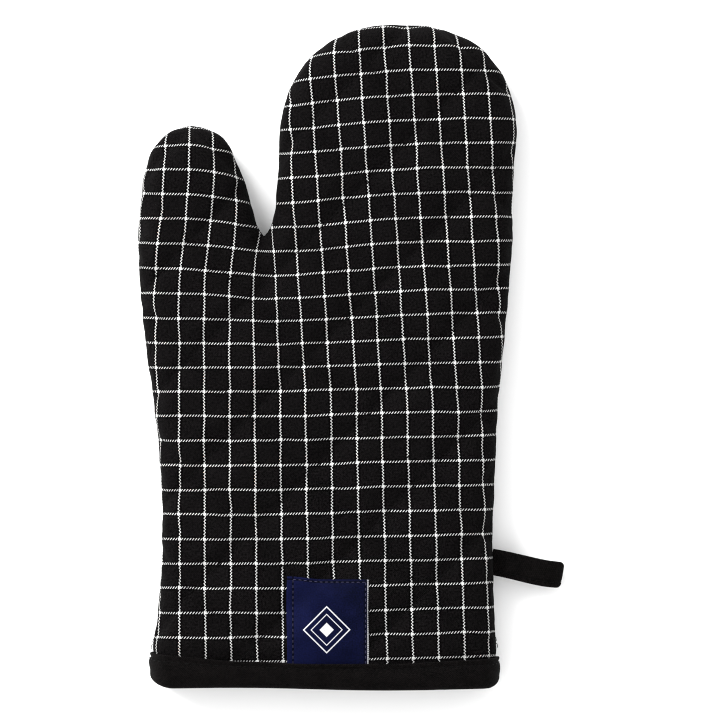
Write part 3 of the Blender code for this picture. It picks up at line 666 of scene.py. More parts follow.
class Graph:
    """One material's nodes, built with short calls."""

    def __init__(self, name, roughness, sheen=0.0, specular=0.05):
        self.material = bpy.data.materials.new(name)
        self.material.use_nodes = True
        self.nodes = self.material.node_tree.nodes
        self.shader = self.nodes["Principled BSDF"]
        for word, value in (("Roughness", roughness), ("Specular IOR Level", specular),
                            ("Sheen Weight", sheen), ("Sheen Roughness", 0.5)):
            self.shader.inputs[word].default_value = value

    def feed(self, socket, value):
        """Link a socket to a term, or set it; a colour is given without its alpha."""
        if isinstance(value, Term):
            self.material.node_tree.links.new(value.socket, socket)
        else:
            socket.default_value = (*value, 1.0) if isinstance(value, tuple) else value

    def node(self, kind, output, **inputs):
        """Add a node, feed its named inputs, and give the named output."""
        node = self.nodes.new(kind)
        for word, value in inputs.items():
            self.feed(node.inputs[word.replace("_", " ")], value)
        return Term(self, node.outputs[output])

    def math(self, operation, *values):
        node = self.nodes.new("ShaderNodeMath")
        node.operation = operation
        for socket, value in zip(node.inputs, values):
            self.feed(socket, value)
        return Term(self, node.outputs[0])

    def most(self, first, *others):
        """The largest of several terms."""
        for other in others:
            first = self.math("MAXIMUM", first, other)
        return first

    def least(self, first, *others):
        """The smallest of several terms."""
        for other in others:
            first = self.math("MINIMUM", first, other)
        return first

    def wave(self, value, length):
        """A sine wave along a term."""
        return self.math("SINE", value * (2 * math.pi / length))

    def below(self, value, limit, softness):
        """1 where the value is under the limit, 0 above it, with a soft change."""
        found = self.node("ShaderNodeMapRange", "Result", Value=value, From_Min=limit - softness,
                          From_Max=limit + softness, To_Min=1.0, To_Max=0.0)
        found.socket.node.interpolation_type = "SMOOTHSTEP"
        return found

    def dashes(self, value, half_width, softness):
        """1 in the middle of every whole step of the value, 0 between."""
        return self.below(abs(self.math("FRACT", value) - 0.5), half_width, softness)

    def weave(self):
        """The coordinates on the cloth: together in metres, then across and along it in millimetres."""
        uv = self.node("ShaderNodeUVMap", "UV")
        uv.socket.node.uv_map = "weave"
        across = self.node("ShaderNodeSeparateXYZ", "X", Vector=uv)
        return uv, across * 1000.0, Term(self, across.socket.node.outputs["Y"]) * 1000.0

    def place(self):
        """The point on the piece itself, for noise that needs no pattern."""
        return self.node("ShaderNodeTexCoord", "Object")

    def noise(self, vector, scale, detail=2.0):
        return self.node("ShaderNodeTexNoise", "Fac", Vector=vector, Scale=scale, Detail=detail)

    def mix(self, factor, first, second):
        """One colour where the factor is 0, the other where it is 1."""
        node = self.nodes.new("ShaderNodeMix")
        node.data_type = "RGBA"
        self.feed(node.inputs["Factor"], factor)
        self.feed(node.inputs[6], first)
        self.feed(node.inputs[7], second)
        return Term(self, node.outputs[2])

    def finish(self, colour, height=None, distance=0.0, strength=1.0):
        """Give the shader its colour, and a bump of the given distance."""
        self.feed(self.shader.inputs["Base Color"], colour)
        if height is not None:
            bump = self.node("ShaderNodeBump", "Normal", Height=height, Distance=distance, Strength=strength)
            self.feed(self.shader.inputs["Normal"], bump)
        return self.material


def checked_twill():
    """Near-black cotton twill with a white windowpane check, two yarns wide."""
    graph = Graph("checked_twill", 0.9, sheen=0.004, specular=0.02)
    uv, across, along = graph.weave()
    pitch_across = CHECK_ACROSS / MM
    pitch_along = CHECK_ALONG / MM
    dash_pitch = 1.36
    zigzag_pitch = 1.48
    from_warp = graph.math("WRAP", across, pitch_across / 2, -pitch_across / 2)
    from_weft = graph.math("WRAP", along, pitch_along / 2, -pitch_along / 2)
    swing = (graph.math("PINGPONG", along, zigzag_pitch / 2) - zigzag_pitch / 4) * 1.06
    warp = graph.below(abs(from_warp - swing), 0.20, 0.06)
    slanted = across - from_weft * 0.8
    weft = (graph.dashes(graph.math("DIVIDE", slanted, dash_pitch), 0.155, 0.05)
            * graph.below(abs(from_weft), 0.50, 0.10))
    crossing = graph.below(abs(from_warp), 0.66, 0.12) * graph.below(abs(from_weft), 0.62, 0.12)
    white = graph.most(warp, weft, crossing)
    twill = graph.wave(across + along, 0.95)
    picks = graph.wave(along, 0.48)
    grain = graph.noise(uv, 1200.0, 3.0)
    cloudy = graph.noise(uv, 45.0)
    # Painted shade: the black ground is painted darker in a band beside each white line of the check.
    beside = graph.most(graph.below(abs(from_warp), 1.3, 0.4), graph.below(abs(from_weft), 1.2, 0.4))
    shade = grain * 2.6 + twill * 0.2 + cloudy * 0.3 - beside * 0.4 - 1.0
    black = graph.mix(shade, (0.0, 0.0, 0.0), (0.0056, 0.0049, 0.0051))
    yarn = graph.mix(grain, (0.22, 0.22, 0.215), (0.72, 0.72, 0.71))
    height = white * 0.8 + twill * 0.35 + picks * 0.15 + grain * 0.5
    return graph.finish(graph.mix(white, black, yarn), height, 0.12 * MM, 0.7)


def twill_tape():
    """Black cotton twill tape with steep diagonal ribs."""
    graph = Graph("black_twill_tape", 0.88, sheen=0.006, specular=0.03)
    uv, across, along = graph.weave()
    ribs = graph.wave(across + along * 0.8, 1.1)
    picks = graph.wave(across, 0.5)
    grain = graph.noise(uv, 1100.0, 3.0)
    cloudy = graph.noise(uv, 160.0, 3.0)
    shade = grain * 2.6 + ribs * 0.25 + cloudy * 0.9 - 1.35
    black = graph.mix(shade, (0.0, 0.0, 0.0), (0.0046, 0.0037, 0.0037))
    return graph.finish(black, ribs * 0.6 + picks * 0.2 + grain * 0.6, 0.13 * MM, 0.8)


def lining_cotton():
    """Undyed plain-weave cotton."""
    graph = Graph("lining_cotton", 0.92, sheen=0.1)
    uv, across, along = graph.weave()
    plain = graph.wave(across, 0.8) * graph.wave(along, 0.8)
    grain = graph.noise(uv, 500.0, 3.0)
    cloudy = graph.noise(uv, 30.0)
    undyed = graph.mix(grain * 0.6 + cloudy * 0.4, (0.50, 0.46, 0.38), (0.80, 0.77, 0.69))
    return graph.finish(undyed, plain + grain, 0.1 * MM, 0.7)


def soft_wadding():
    """Felted white wadding, fluffy at close range."""
    graph = Graph("wadding", 0.97, sheen=0.2)
    fluff = graph.noise(graph.place(), 600.0, 4.0)
    white = graph.mix(fluff, (0.62, 0.61, 0.56), (0.86, 0.85, 0.81))
    return graph.finish(white, fluff, 0.5 * MM, 0.8)


def spun_thread(name, dark, light):
    """Spun polyester sewing thread."""
    graph = Graph(name, 0.6, sheen=0.01, specular=0.04)
    fibres = graph.noise(graph.place(), 2500.0)
    return graph.finish(graph.mix(fibres, dark, light), fibres, 0.06 * MM, 0.6)


def woven_label():
    """Navy damask label with three nested lozenges woven in white and a pale selvedge down its right side."""
    graph = Graph("navy_woven_label", 0.65, sheen=0.004, specular=0.025)
    uv, across, along = graph.weave()
    lozenge = abs(across) + abs(along)
    outer = graph.below(abs(lozenge - 11.0), 0.40, 0.1)
    inner = graph.below(abs(lozenge - 7.4), 0.28, 0.1)
    motif = graph.most(outer, inner, graph.below(lozenge, 3.4, 0.15), pale_selvedge(graph, across, along))
    picks = graph.wave(along, 0.36)
    ends = graph.wave(across, 0.30)
    grain = graph.noise(uv, 1500.0)
    cloudy = graph.noise(uv, 90.0)
    # Painted sheen: the across term paints the label lighter towards its left side and darker towards its
    # right.
    shade = grain * 1.3 + picks * 0.12 + (cloudy * 0.7 - 0.5) - across * 0.012
    # Painted shade: the label is painted darker along the groove of its stitches.
    shade = shade - painted_stitch_groove_shade(graph, across, along) * 0.7
    navy = graph.mix(shade, (0.0003, 0.0006, 0.0036), (0.0031, 0.0045, 0.0280))
    white = graph.mix(grain, (0.36, 0.36, 0.37), (0.62, 0.62, 0.63))
    return graph.finish(graph.mix(motif, navy, white), picks * 0.35 + ends * 0.25 + motif, 0.07 * MM, 0.7)


def pale_selvedge(graph, across, along):
    """The white yarn ends that show along the label's right edge, as a fine zigzag."""
    start = (LABEL_RIGHT - SELVEDGE - MOTIF_PLACE[0]) / MM
    swing = graph.math("PINGPONG", along, 0.5) * 0.7
    strip = graph.below(swing - across, 0.12 - start, 0.1)
    return strip * (graph.dashes(along, 0.34, 0.1) * 0.62 + 0.12)


def painted_stitch_groove_shade(graph, across, along):
    """1 in the narrow groove that the stitches pull into the label, 0 elsewhere; the label is darkened there
    with painted shade.
    """
    left = (LABEL_LOW.x + LABEL_STITCH_LEFT - MOTIF_PLACE[0]) / MM
    right = (LABEL_RIGHT - LABEL_STITCH_RIGHT - MOTIF_PLACE[0]) / MM
    corner = (LABEL_HIGH.y + LABEL_CORNER_RISE - LABEL_STITCH_TOP - MOTIF_PLACE[1]) / MM
    fall_start = (LABEL_LOW.x - MOTIF_PLACE[0]) / MM
    fall_width = (LABEL_RIGHT - LABEL_LOW.x) / MM * LABEL_FALL_SHARE
    not_fallen = graph.below(across, fall_start + fall_width / 2, fall_width / 2)
    line = not_fallen * (LABEL_TOP_FALL / MM) + (corner - LABEL_TOP_FALL / MM)
    return graph.below(graph.least(abs(across - left), abs(across - right), abs(along - line)), 0.42, 0.2)


# ======== the padded halves

def inflate(item, held):
    """Swell the cloth between the held vertices with Blender's cloth, then cap how far any point moved."""
    before = coordinates(item)
    group = item.vertex_groups.new(name="held")
    for index in np.flatnonzero(held > 0):
        group.add([int(index)], float(held[index]), "REPLACE")
    modifier = item.modifiers.new("cloth", "CLOTH")
    for word, value in SWELLING.items():
        setattr(modifier.settings, word, value)
    modifier.settings.effector_weights.gravity = 0.0
    modifier.collision_settings.use_collision = False
    modifier.point_cache.frame_start = 1
    modifier.point_cache.frame_end = SWELL_FRAMES
    scene = bpy.context.scene
    for number in range(1, SWELL_FRAMES + 1):
        scene.frame_set(number)
    after = coordinates(item.evaluated_get(bpy.context.evaluated_depsgraph_get()))
    item.modifiers.clear()
    item.vertex_groups.clear()
    scene.frame_set(1)
    shift = after - before
    far = np.linalg.norm(shift, axis=1)
    scale = SWELL_CAP * np.tanh(far / SWELL_CAP) / np.maximum(far, 1e-12)
    move_vertices(item, before + shift * scale[:, None])


def corner_lift(x):
    """How far the cuff's bottom edge is drawn up near its two corners."""
    left = np.clip(1.0 - (x - CUFF_LEFT_X * MM) / CORNER_ROUND_LEFT, 0.0, 1.0)
    right = np.clip(1.0 - (CUFF_RIGHT_X * MM - x) / CORNER_ROUND_RIGHT, 0.0, 1.0)
    lift_left = CORNER_LIFT_LEFT * (1 - np.sqrt(1 - 0.96 * left**2))
    lift_right = CORNER_LIFT_RIGHT * (1 - np.sqrt(1 - 0.96 * right**2))
    return lift_left + lift_right


def hem_rise(x):
    """How far the cuff's edge rises above its lowest line; it waves a little and climbs to the thumb side."""
    return 0.95 * MM - 0.004 * x + HEM_WAVE * np.cos(2 * math.pi * (x + 51 * MM) / HEM_WAVE_LENGTH)


def squeeze(points):
    """Draw the lowest few millimetres of a piece up inside the binding, more so at the corners."""
    part = np.clip((SQUEEZE_START_Y - points[:, 1]) / (SQUEEZE_START_Y - CUFF_Y), 0.0, None)
    rise = corner_lift(points[:, 0]) + hem_rise(points[:, 0])
    target = SQUEEZE_START_Y + (CLOTH_END_Y - SQUEEZE_START_Y + rise) * part
    result = points.copy()
    result[:, 1] = np.where(part > 0, target, points[:, 1])
    return result


def wall_thickness(plan, inset):
    """From the outer cloth's face to the lining's, thin along the quilting, the seam and the binding."""
    off_lines = 1.0 - np.exp(-(quilt_distance(plan) / VALLEY_WIDTH) ** VALLEY_POWER)
    puff = off_lines * smooth_step(inset / PUFF_START)
    thick = QUILTED_THIN + (QUILTED_FULL - QUILTED_THIN) * puff
    bound = under_binding(plan[:, 1])
    return thick * (1 - bound) + BOUND_WALL * bound


def binding_groove(plan):
    """How far the cloth dips just above the binding's edge."""
    above = np.maximum(plan[:, 1] - band_top(plan[:, 0]), 0.0)
    return BINDING_GROOVE * np.exp(-(above / BINDING_GROOVE_REACH) ** 2)


def crotch_crease(plan):
    """The shallow crease that runs down the front from the crotch beside the thumb."""
    aside = (plan[:, 0] - CREASE_TOP[0]) / CREASE_WIDTH
    down = (CREASE_TOP[1] - plan[:, 1]) / CREASE_LENGTH
    return CREASE_DEPTH * np.exp(-aside**2) * smooth_step(1.0 - down) * smooth_step(1.5 + down * 3.0)


def outer_points(half):
    """The outer cloth, drawn in along the quilting and by the binding, with faint ripples by the seam."""
    inset = half.pattern.inset
    depth = valley(half.plan) * smooth_step(inset / PUFF_START) + binding_groove(half.plan)
    if half.side > 0:
        depth = depth + crotch_crease(half.plan) * smooth_step((inset - 1.5 * MM) / (6.0 * MM))
    ripple = wander(half.base, 7.0 * MM, 3 if half.side > 0 else 4)
    near_seam = np.exp(-(inset / (9.0 * MM)) ** 2) * smooth_step(inset / (2.0 * MM))
    broad = wander(half.base, 38.0 * MM, 8)
    shift = 0.55 * MM * ripple * near_seam + 0.5 * MM * broad * smooth_step(inset / (8.0 * MM))
    if half.side < 0:
        shift = shift - FLATTENED
    return half.base + half.outward * (shift - depth - pinch(half.plan[:, 1]))[:, None]


def lining_points(half):
    """The lining's face, nested inside the outer cloth with the wadding between."""
    pattern = half.pattern
    part = np.clip(pattern.inset / EDGE_ZONE, 0.0, 1.0)
    plan = pattern.at_inset(LINING_INSET + (EDGE_ZONE - LINING_INSET) * part)
    outer_rise = SEAM_Z if half.side < 0 else FRONT_SHOULDER + crown(np.maximum(pattern.inset, EDGE_ZONE))
    roll = (1 - (1 - part) ** ROLL_FULLNESS) ** (1 / ROLL_FULLNESS)
    thick = wall_thickness(plan, np.maximum(pattern.inset, 8.0 * MM))
    rise = (outer_rise - thick - pinch(plan[:, 1])) * roll
    pinched = (pinch(plan[:, 1]) + binding_groove(plan)) * np.exp(-pattern.inset / (4.0 * MM))
    return np.column_stack([plan + pattern.inward * pinched[:, None], SEAM_Z + half.side * rise])


def meet_at_seam(half, shaped):
    """The outer cloth, its edge brought to the line where both halves meet, drawn in by the binding."""
    drawn = pinch(half.plan[:, 1]) + binding_groove(half.plan)
    met = half.base.copy()
    met[:, :2] += half.pattern.inward * drawn[:, None]
    share = 1.0 - smooth_step(half.pattern.inset / (2.5 * MM))
    return shaped + share[:, None] * (squeeze(met) - shaped)


def eased_cloth(half, points):
    """Places on the flat cloth, eased so that the check runs straight to the edges by the cuff and crotch."""
    level = smooth_step((LEVEL_START_Y - half.base[:, 1]) / (25 * MM))
    cloth = half.cloth.copy()
    cloth[:, 0] += level * (points - half.base)[:, 0]
    cloth[:, 1] += level * (points[:, 1] - cloth[:, 1])
    aside = half.base[:, 0] - CREASE_TOP[0]
    above = half.base[:, 1] - CREASE_TOP[1]
    by_fingers = (aside > -4 * MM) & (above > 0)
    from_crotch = np.hypot(aside, np.where(by_fingers, 0.5, 1.0) * above)
    at_crotch = 1.0 - smooth_step((from_crotch - 9 * MM) / (14 * MM))
    share = np.maximum(at_crotch, FRONT_EDGE_EASE if half.side > 0 else 0.0)
    return cloth + share[:, None] * (points[:, :2] - cloth)


def held_share(half):
    """How firmly each vertex is held while the cloth swells: on the quilting, the seam and the binding."""
    inset = half.pattern.inset
    on_line = (quilt_distance(half.plan) < 0.8 * MM) & (inset > EDGE_ZONE - 1 * MM)
    by_seam = 1.0 - smooth_step((inset - 1.0 * MM) / (5.0 * MM))
    by_binding = smooth_step((-136 * MM - half.plan[:, 1]) / (8.0 * MM))
    return np.maximum(np.maximum(np.where(on_line, 1.0, 0.0), by_seam), by_binding)


def make_half(pattern, side, word, check, felt, cotton):
    """One padded half: outer cloth, lining and wadding."""
    half = Half(pattern, side)
    points = outer_points(half)
    cloth = eased_cloth(half, points)
    weave = front_weave(cloth) if side > 0 else back_weave(cloth)
    outer = mesh_object(f"{word}_cloth", points, half.faces, check, weave)
    if side > 0:
        inflate(outer, held_share(half))
    shaped = squeeze(coordinates(outer))
    if side < 0:
        shaped[:, 2] = np.maximum(shaped[:, 2], LEAST_CLEARANCE)
    inner = squeeze(lining_points(half))
    gap = ((shaped - inner) * half.outward).sum(axis=1)
    shaped = meet_at_seam(half, shaped + half.outward * np.maximum(LEAST_WALL - gap, 0.0)[:, None])
    move_vertices(outer, shaped)
    lining = mesh_object(f"{word}_lining", inner, half.faces[:, ::-1], cotton, half.cloth)
    sunk = 0.22 + 0.43 * np.exp(-(pattern.inset / (2.5 * MM)) ** 2)
    upper = shaped + (inner - shaped) * sunk[:, None]
    lower = shaped + (inner - shaped) * 0.80
    wadding = shut_solid(f"{word}_wadding", upper, lower, half.faces, felt)
    subdivide(outer)
    return half, outer, lining, wadding


class Face:
    """A finished cloth face that other pieces are laid on."""

    def __init__(self, item, side):
        self.side = side
        self.tree = BVHTree.FromObject(item, bpy.context.evaluated_depsgraph_get())

    def at(self, places):
        """Points and outward normals on the face above or below each plan place."""
        points = []
        normals = []
        for x, y in places:
            start = Vector((x, y, RAY_START * self.side))
            spot, normal, _, _ = self.tree.ray_cast(start, Vector((0, 0, -self.side)))
            if spot is None:
                spot, normal, _, _ = self.tree.find_nearest(Vector((x, y, SEAM_Z + 0.01 * self.side)))
            if normal.z * self.side < 0:
                normal = -normal
            points.append(tuple(spot))
            normals.append(tuple(normal))
        return np.array(points), np.array(normals)


# ======== stitches

def stitch_row(name, paths, material, length=STITCH_LENGTH, gap=STITCH_GAP, radius=THREAD_RADIUS):
    """Separate stitches along each path of points and outward normals, diving into the cloth at both ends."""
    vertices = []
    faces = []
    part = np.linspace(-1, 1, STITCH_RINGS)
    lift = STITCH_PROUD - (STITCH_SINK + STITCH_PROUD) * part**4
    girth = radius * (1 - 0.35 * part**6)
    for points, normals in paths:
        along = travelled(points)
        count = int((along[-1] + gap) / (length + gap))
        pitch = (along[-1] + gap) / max(count, 1)
        for index in range(count):
            stretch = np.linspace(index * pitch, index * pitch + pitch - gap, STITCH_RINGS)
            up = unit(sample(stretch, along, normals))
            centre = sample(stretch, along, points) + up * lift[:, None]
            ahead = unit(np.gradient(centre, axis=0))
            sideways = unit(np.cross(ahead, up))
            over = np.cross(sideways, ahead)
            faces.extend(tube_faces(STITCH_RINGS, THREAD_SIDES, len(vertices)))
            for ring in range(STITCH_RINGS):
                vertices.extend(centre[ring] + girth[ring] * (math.cos(angle) * sideways[ring]
                                                              + math.sin(angle) * over[ring])
                                for angle in THREAD_ANGLES)
    return mesh_object(name, vertices, faces, material)


def quilting(name, seam, face, material):
    """The quilting stitches on one face of the mitt."""
    lines = [line[line[:, 1] > band_top(line[:, 0])] for line in quilt_lines(seam, 1.0 * MM, 6.5 * MM)]
    return stitch_row(name, [face.at(line) for line in lines if len(line) >= 4], material)


def seam_stitches(seam, material):
    """The stitches that close the side seam, deep in its groove, with a gap where the loop is sewn in."""
    good = seam.points[:, 1] > BAND_MIDDLE_Y + 6 * MM
    inward = seam.inward[good]
    plan = seam.points[good] + inward * 1.15 * MM
    clear = (np.abs(plan[:, 1] - LOOP_ROOT[1]) > LOOP_WIDTH / 2 + 0.5 * MM) | (plan[:, 0] < 0)
    points = np.column_stack([plan, np.full(len(plan), SEAM_Z)])
    normals = np.column_stack([-inward, np.zeros(len(plan))])
    paths = [(points[run], normals[run]) for run in true_runs(clear) if len(run) > 3]
    return stitch_row("seam_stitches", paths, material, length=2.4 * MM, gap=0.6 * MM)


# ======== the binding round the cuff

class Mouth:
    """The cuff's outline seen from the mouth, as a closed loop of places with outward directions."""

    def __init__(self):
        loop = self.outline()
        closed = np.vstack([loop, loop[:1]])
        along = travelled(closed)
        self.length = along[-1]
        self.count = int(self.length / RING_STEP)
        self.along = np.linspace(0, self.length, self.count, endpoint=False)
        places = sample(self.along, along, closed)
        self.x, self.z = places.T
        ahead = unit(np.roll(places, -1, axis=0) - np.roll(places, 1, axis=0))
        self.outward = np.column_stack([ahead[:, 1], -ahead[:, 0]])

    @staticmethod
    def outline():
        """Right seam, over the front to the left seam, and back underneath; anticlockwise from the mouth."""
        power = 2.0 / ROLL_FULLNESS
        angle = np.linspace(0.0, math.pi / 2, 40)
        reach = (CUFF_RIGHT_X - CUFF_LEFT_X) / 2 * MM
        rolled = ROLL_WIDTH * (1 - np.cos(angle) ** power)
        inset = np.concatenate([rolled, np.linspace(ROLL_WIDTH, reach, 60)[1:]])
        share = np.concatenate([np.sin(angle) ** power, np.ones(59)])
        front = SEAM_Z + FRONT_SHOULDER * share + crown(inset)
        back = SEAM_Z - SEAM_Z * share
        right = CUFF_RIGHT_X * MM - inset
        left = CUFF_LEFT_X * MM + inset
        return np.vstack([np.column_stack([right, front]), np.column_stack([left, front])[::-1][1:],
                          np.column_stack([left, back])[1:], np.column_stack([right, back])[::-1][1:-1]])

    def points(self, offset, y):
        """Places round the mouth at a distance outside the plain outline, at the given height up the cuff."""
        x = self.x + self.outward[:, 0] * offset
        return np.column_stack([x, y, self.z + self.outward[:, 1] * offset])

    def noise(self, scale, across, seed):
        """Smooth noise between about -1 and 1 round the mouth."""
        return np.array([noise.noise(Vector((place, across, seed))) for place in self.along * scale])


def binding_section():
    """The binding's folded U in section: (offset, share up towards its edge, rise above that)."""
    lip = BINDING_THICKNESS / 2
    radius = (BINDING_OUTER - BINDING_INNER) / 2
    middle = (BINDING_OUTER + BINDING_INNER) / 2
    small = radius - BINDING_THICKNESS
    up = np.linspace(0.0, 1.0, 15)
    down = 1.0 - up

    def arc(centre, start, share, rise, steps):
        angles = np.linspace(0.0, math.pi, steps)[1:-1]
        return [(centre + start * math.cos(angle), share, rise * math.sin(angle)) for angle in angles]

    def leg(offset, shares):
        return [(offset, share, 0.0) for share in shares]

    return (arc(BINDING_OUTER - lip, -lip, 1.0, lip, 7) + leg(BINDING_OUTER, down)
            + arc(middle, radius, 0.0, -radius, 13) + leg(BINDING_INNER, up)
            + arc(BINDING_INNER + lip, -lip, 1.0, lip, 7) + leg(BINDING_INNER + BINDING_THICKNESS, down)
            + arc(middle, -small, 0.0, -small, 13) + leg(BINDING_OUTER - BINDING_THICKNESS, up))


def binding_place(mouth, offset, share, rise):
    """One row of the binding round the whole mouth; it rides up where it crosses the label."""
    top = band_top(mouth.x) + BINDING_WOBBLE * mouth.noise(45, 3.1, 7.7)
    y = BINDING_FOLD_Y + (top - BINDING_FOLD_Y) * share + rise
    y = y + (corner_lift(mouth.x) + hem_rise(mouth.x)) * (1 - share)
    from_edge = (1 - share) * (top - BINDING_FOLD_Y) - rise
    groove = np.exp(-((from_edge - BINDING_STITCH_DROP) / (0.9 * MM)) ** 2)
    swell = np.sin(np.clip((from_edge - BINDING_STITCH_DROP) / (9.0 * MM), 0.0, 1.0) * math.pi)
    pucker = mouth.noise(150, share * 2.2, 1.3)
    broad = mouth.noise(40, share * 1.2, 5.3)
    uneven = (0.22 * MM * pucker + 0.22 * MM * broad) * (0.3 + 0.7 * swell)
    shift = 0.45 * MM * swell - 0.55 * MM * groove + uneven
    if offset <= (BINDING_OUTER + BINDING_INNER) / 2:
        return mouth.points(offset - shift, y)
    on_label = smooth_step((mouth.x - LABEL_LOW.x + 1.5 * MM) / (3 * MM))
    on_label = on_label * smooth_step((LABEL_RIGHT + 1.5 * MM - mouth.x) / (3 * MM))
    lift = 0.45 * MM * on_label * (mouth.z > SEAM_Z) * share
    return mouth.points(offset + shift + lift, y)


def make_binding(mouth, material):
    """The black tape folded round the cuff's edge, inside and out."""
    rows = binding_section()
    vertices = np.vstack([binding_place(mouth, *row) for row in rows])
    steps = [np.hypot(b[0] - a[0], (b[1] - a[1]) * BINDING_LEG + b[2] - a[2]) for a, b in zip(rows, rows[1:])]
    steps.append(np.hypot(rows[0][0] - rows[-1][0], (rows[0][1] - rows[-1][1]) * BINDING_LEG))
    up = running_sum(steps)
    along = np.append(mouth.along, mouth.length)
    faces = tube_faces(len(rows), mouth.count, looped=True)
    weave = [(along[index + right], up[row + above]) for row in range(len(rows))
             for index in range(mouth.count) for right, above in ((0, 0), (1, 0), (1, 1), (0, 1))]
    return mesh_object("cuff_binding_tape", vertices, faces, material, weave)


def binding_stitches(name, mouth, outside, material):
    """The row of stitches that holds the binding down, near its edge."""
    offset, sign = (BINDING_OUTER, 1.0) if outside else (BINDING_INNER, -1.0)
    path = binding_place(mouth, offset, 1.0 - BINDING_STITCH_DROP / (BAND_MIDDLE_Y - BINDING_FOLD_Y), 0.0)
    outward = np.column_stack([mouth.outward[:, 0], np.zeros(mouth.count), mouth.outward[:, 1]]) * sign
    closed = [np.vstack([rows, rows[:1]]) for rows in (path, outward)]
    return stitch_row(name, [closed], material, length=2.6 * MM, gap=0.9 * MM, radius=0.26 * MM)


# ======== the label

def label_top(x):
    """The label's top edge: its left corner a little higher, then level."""
    part = (x - LABEL_LOW.x) / (LABEL_RIGHT - LABEL_LOW.x)
    return LABEL_HIGH.y + LABEL_CORNER_RISE - LABEL_TOP_FALL * smooth_step(part / LABEL_FALL_SHARE)


def label_stitch_places():
    """Where the label is sewn down: up one side, across the top and down the other side."""
    left = LABEL_LOW.x + LABEL_STITCH_LEFT
    right = LABEL_RIGHT - LABEL_STITCH_RIGHT
    bottom = float(band_top(0.0)) + 0.3 * MM
    across = [(x, float(label_top(x)) - LABEL_STITCH_TOP) for x in np.linspace(left, right, 60)]
    up = [(left, y) for y in np.linspace(bottom, across[0][1], 60)]
    down = [(right, y) for y in np.linspace(across[-1][1], bottom, 60)]
    return [up, across, down]


def label_dent(x, y):
    """How far the label is drawn down along its stitches."""
    left = np.abs(x - LABEL_LOW.x - LABEL_STITCH_LEFT)
    right = np.abs(x - LABEL_RIGHT + LABEL_STITCH_RIGHT)
    top = np.abs(y - label_top(x) + LABEL_STITCH_TOP)
    return 0.22 * MM * np.exp(-(np.minimum(np.minimum(left, right), top) / (0.8 * MM)) ** 2)


def label_faces():
    """The label's grid of places cut into triangles."""
    triangles = []
    for row in range(LABEL_ROWS - 1):
        for corner in range(row * LABEL_COLUMNS, (row + 1) * LABEL_COLUMNS - 1):
            opposite = corner + 1 + LABEL_COLUMNS
            triangles.append((corner, corner + 1, opposite))
            triangles.append((corner, opposite, corner + LABEL_COLUMNS))
    return np.array(triangles)


def make_label(face, material):
    """The woven label laid on the front near the cuff, its lower end tucked under the binding."""
    column = np.arange(LABEL_COLUMNS)
    row = np.arange(LABEL_ROWS)
    columns_x = np.linspace(LABEL_LOW.x, LABEL_RIGHT, LABEL_COLUMNS)
    x, part = np.meshgrid(columns_x, np.linspace(0.0, 1.0, LABEL_ROWS))
    y = LABEL_TUCK_Y + (label_top(x) - LABEL_TUCK_Y) * part
    x = x + 0.18 * MM * np.sin(part * 7.0)
    plan = np.column_stack([x.ravel(), y.ravel()])
    rough = face.at(plan)[0][:, 2].reshape(LABEL_ROWS, LABEL_COLUMNS)
    smooth = rough.copy()
    for _ in range(LABEL_SMOOTHINGS):
        padded = np.pad(smooth, 1, mode="edge")
        smooth = (padded[:-2, 1:-1] + padded[2:, 1:-1] + padded[1:-1, :-2] + padded[1:-1, 2:]) / 4
        smooth = np.maximum(smooth, rough)
    from_side = np.minimum(column, LABEL_COLUMNS - 1 - column)[None, :]
    from_edge = np.minimum(from_side, (LABEL_ROWS - 1 - row)[:, None]) * 0.6
    edge_drop = 0.30 * MM * np.exp(-from_edge * 1.6)
    x_part = (x - LABEL_LOW.x) / (LABEL_RIGHT - LABEL_LOW.x)
    ripple = 0.16 * MM * np.sin(x_part * 15.0 + 1.0) * np.exp(-np.abs(1 - part) * 6.0)
    top = smooth + 0.25 * MM + LABEL_CLOTH + ripple - edge_drop - label_dent(x, y)
    low = np.minimum(smooth + 0.10 * MM, top - 0.18 * MM)
    upper, lower = [np.column_stack([plan, height.ravel()]) for height in (top, low)]
    weave = np.vstack([plan, plan]) - np.array(MOTIF_PLACE)
    return shut_solid("woven_label", upper, lower, label_faces(), material, weave)


# ======== the hanging loop

def loop_path():
    """The tape's middle in side view, out along the top, round the tip and back, with its outward side."""
    angles = np.linspace(0.0, 2 * math.pi, LOOP_STEPS)
    end = LOOP_LENGTH - LOOP_TAPE / 2
    reach = LOOP_START + (end - LOOP_START) * (1 - np.cos(angles)) / 2
    fullest = 4.0 / (3.0 * math.sqrt(3.0))
    height = (LOOP_HALF_HEIGHT - LOOP_TAPE / 2) * np.sin(angles) * np.abs(np.sin(angles / 2)) ** 1.6 / fullest
    least = LOOP_TAPE / 2 + 0.03 * MM
    near_root = reach < 0.6 * LOOP_LENGTH
    sign = np.where(angles < math.pi, 1.0, -1.0)
    height = np.where(near_root & (np.abs(height) < least), sign * least, height)
    path = np.column_stack([reach, height])
    ahead = unit(np.gradient(path, axis=0))
    return path, np.column_stack([-ahead[:, 1], ahead[:, 0]])


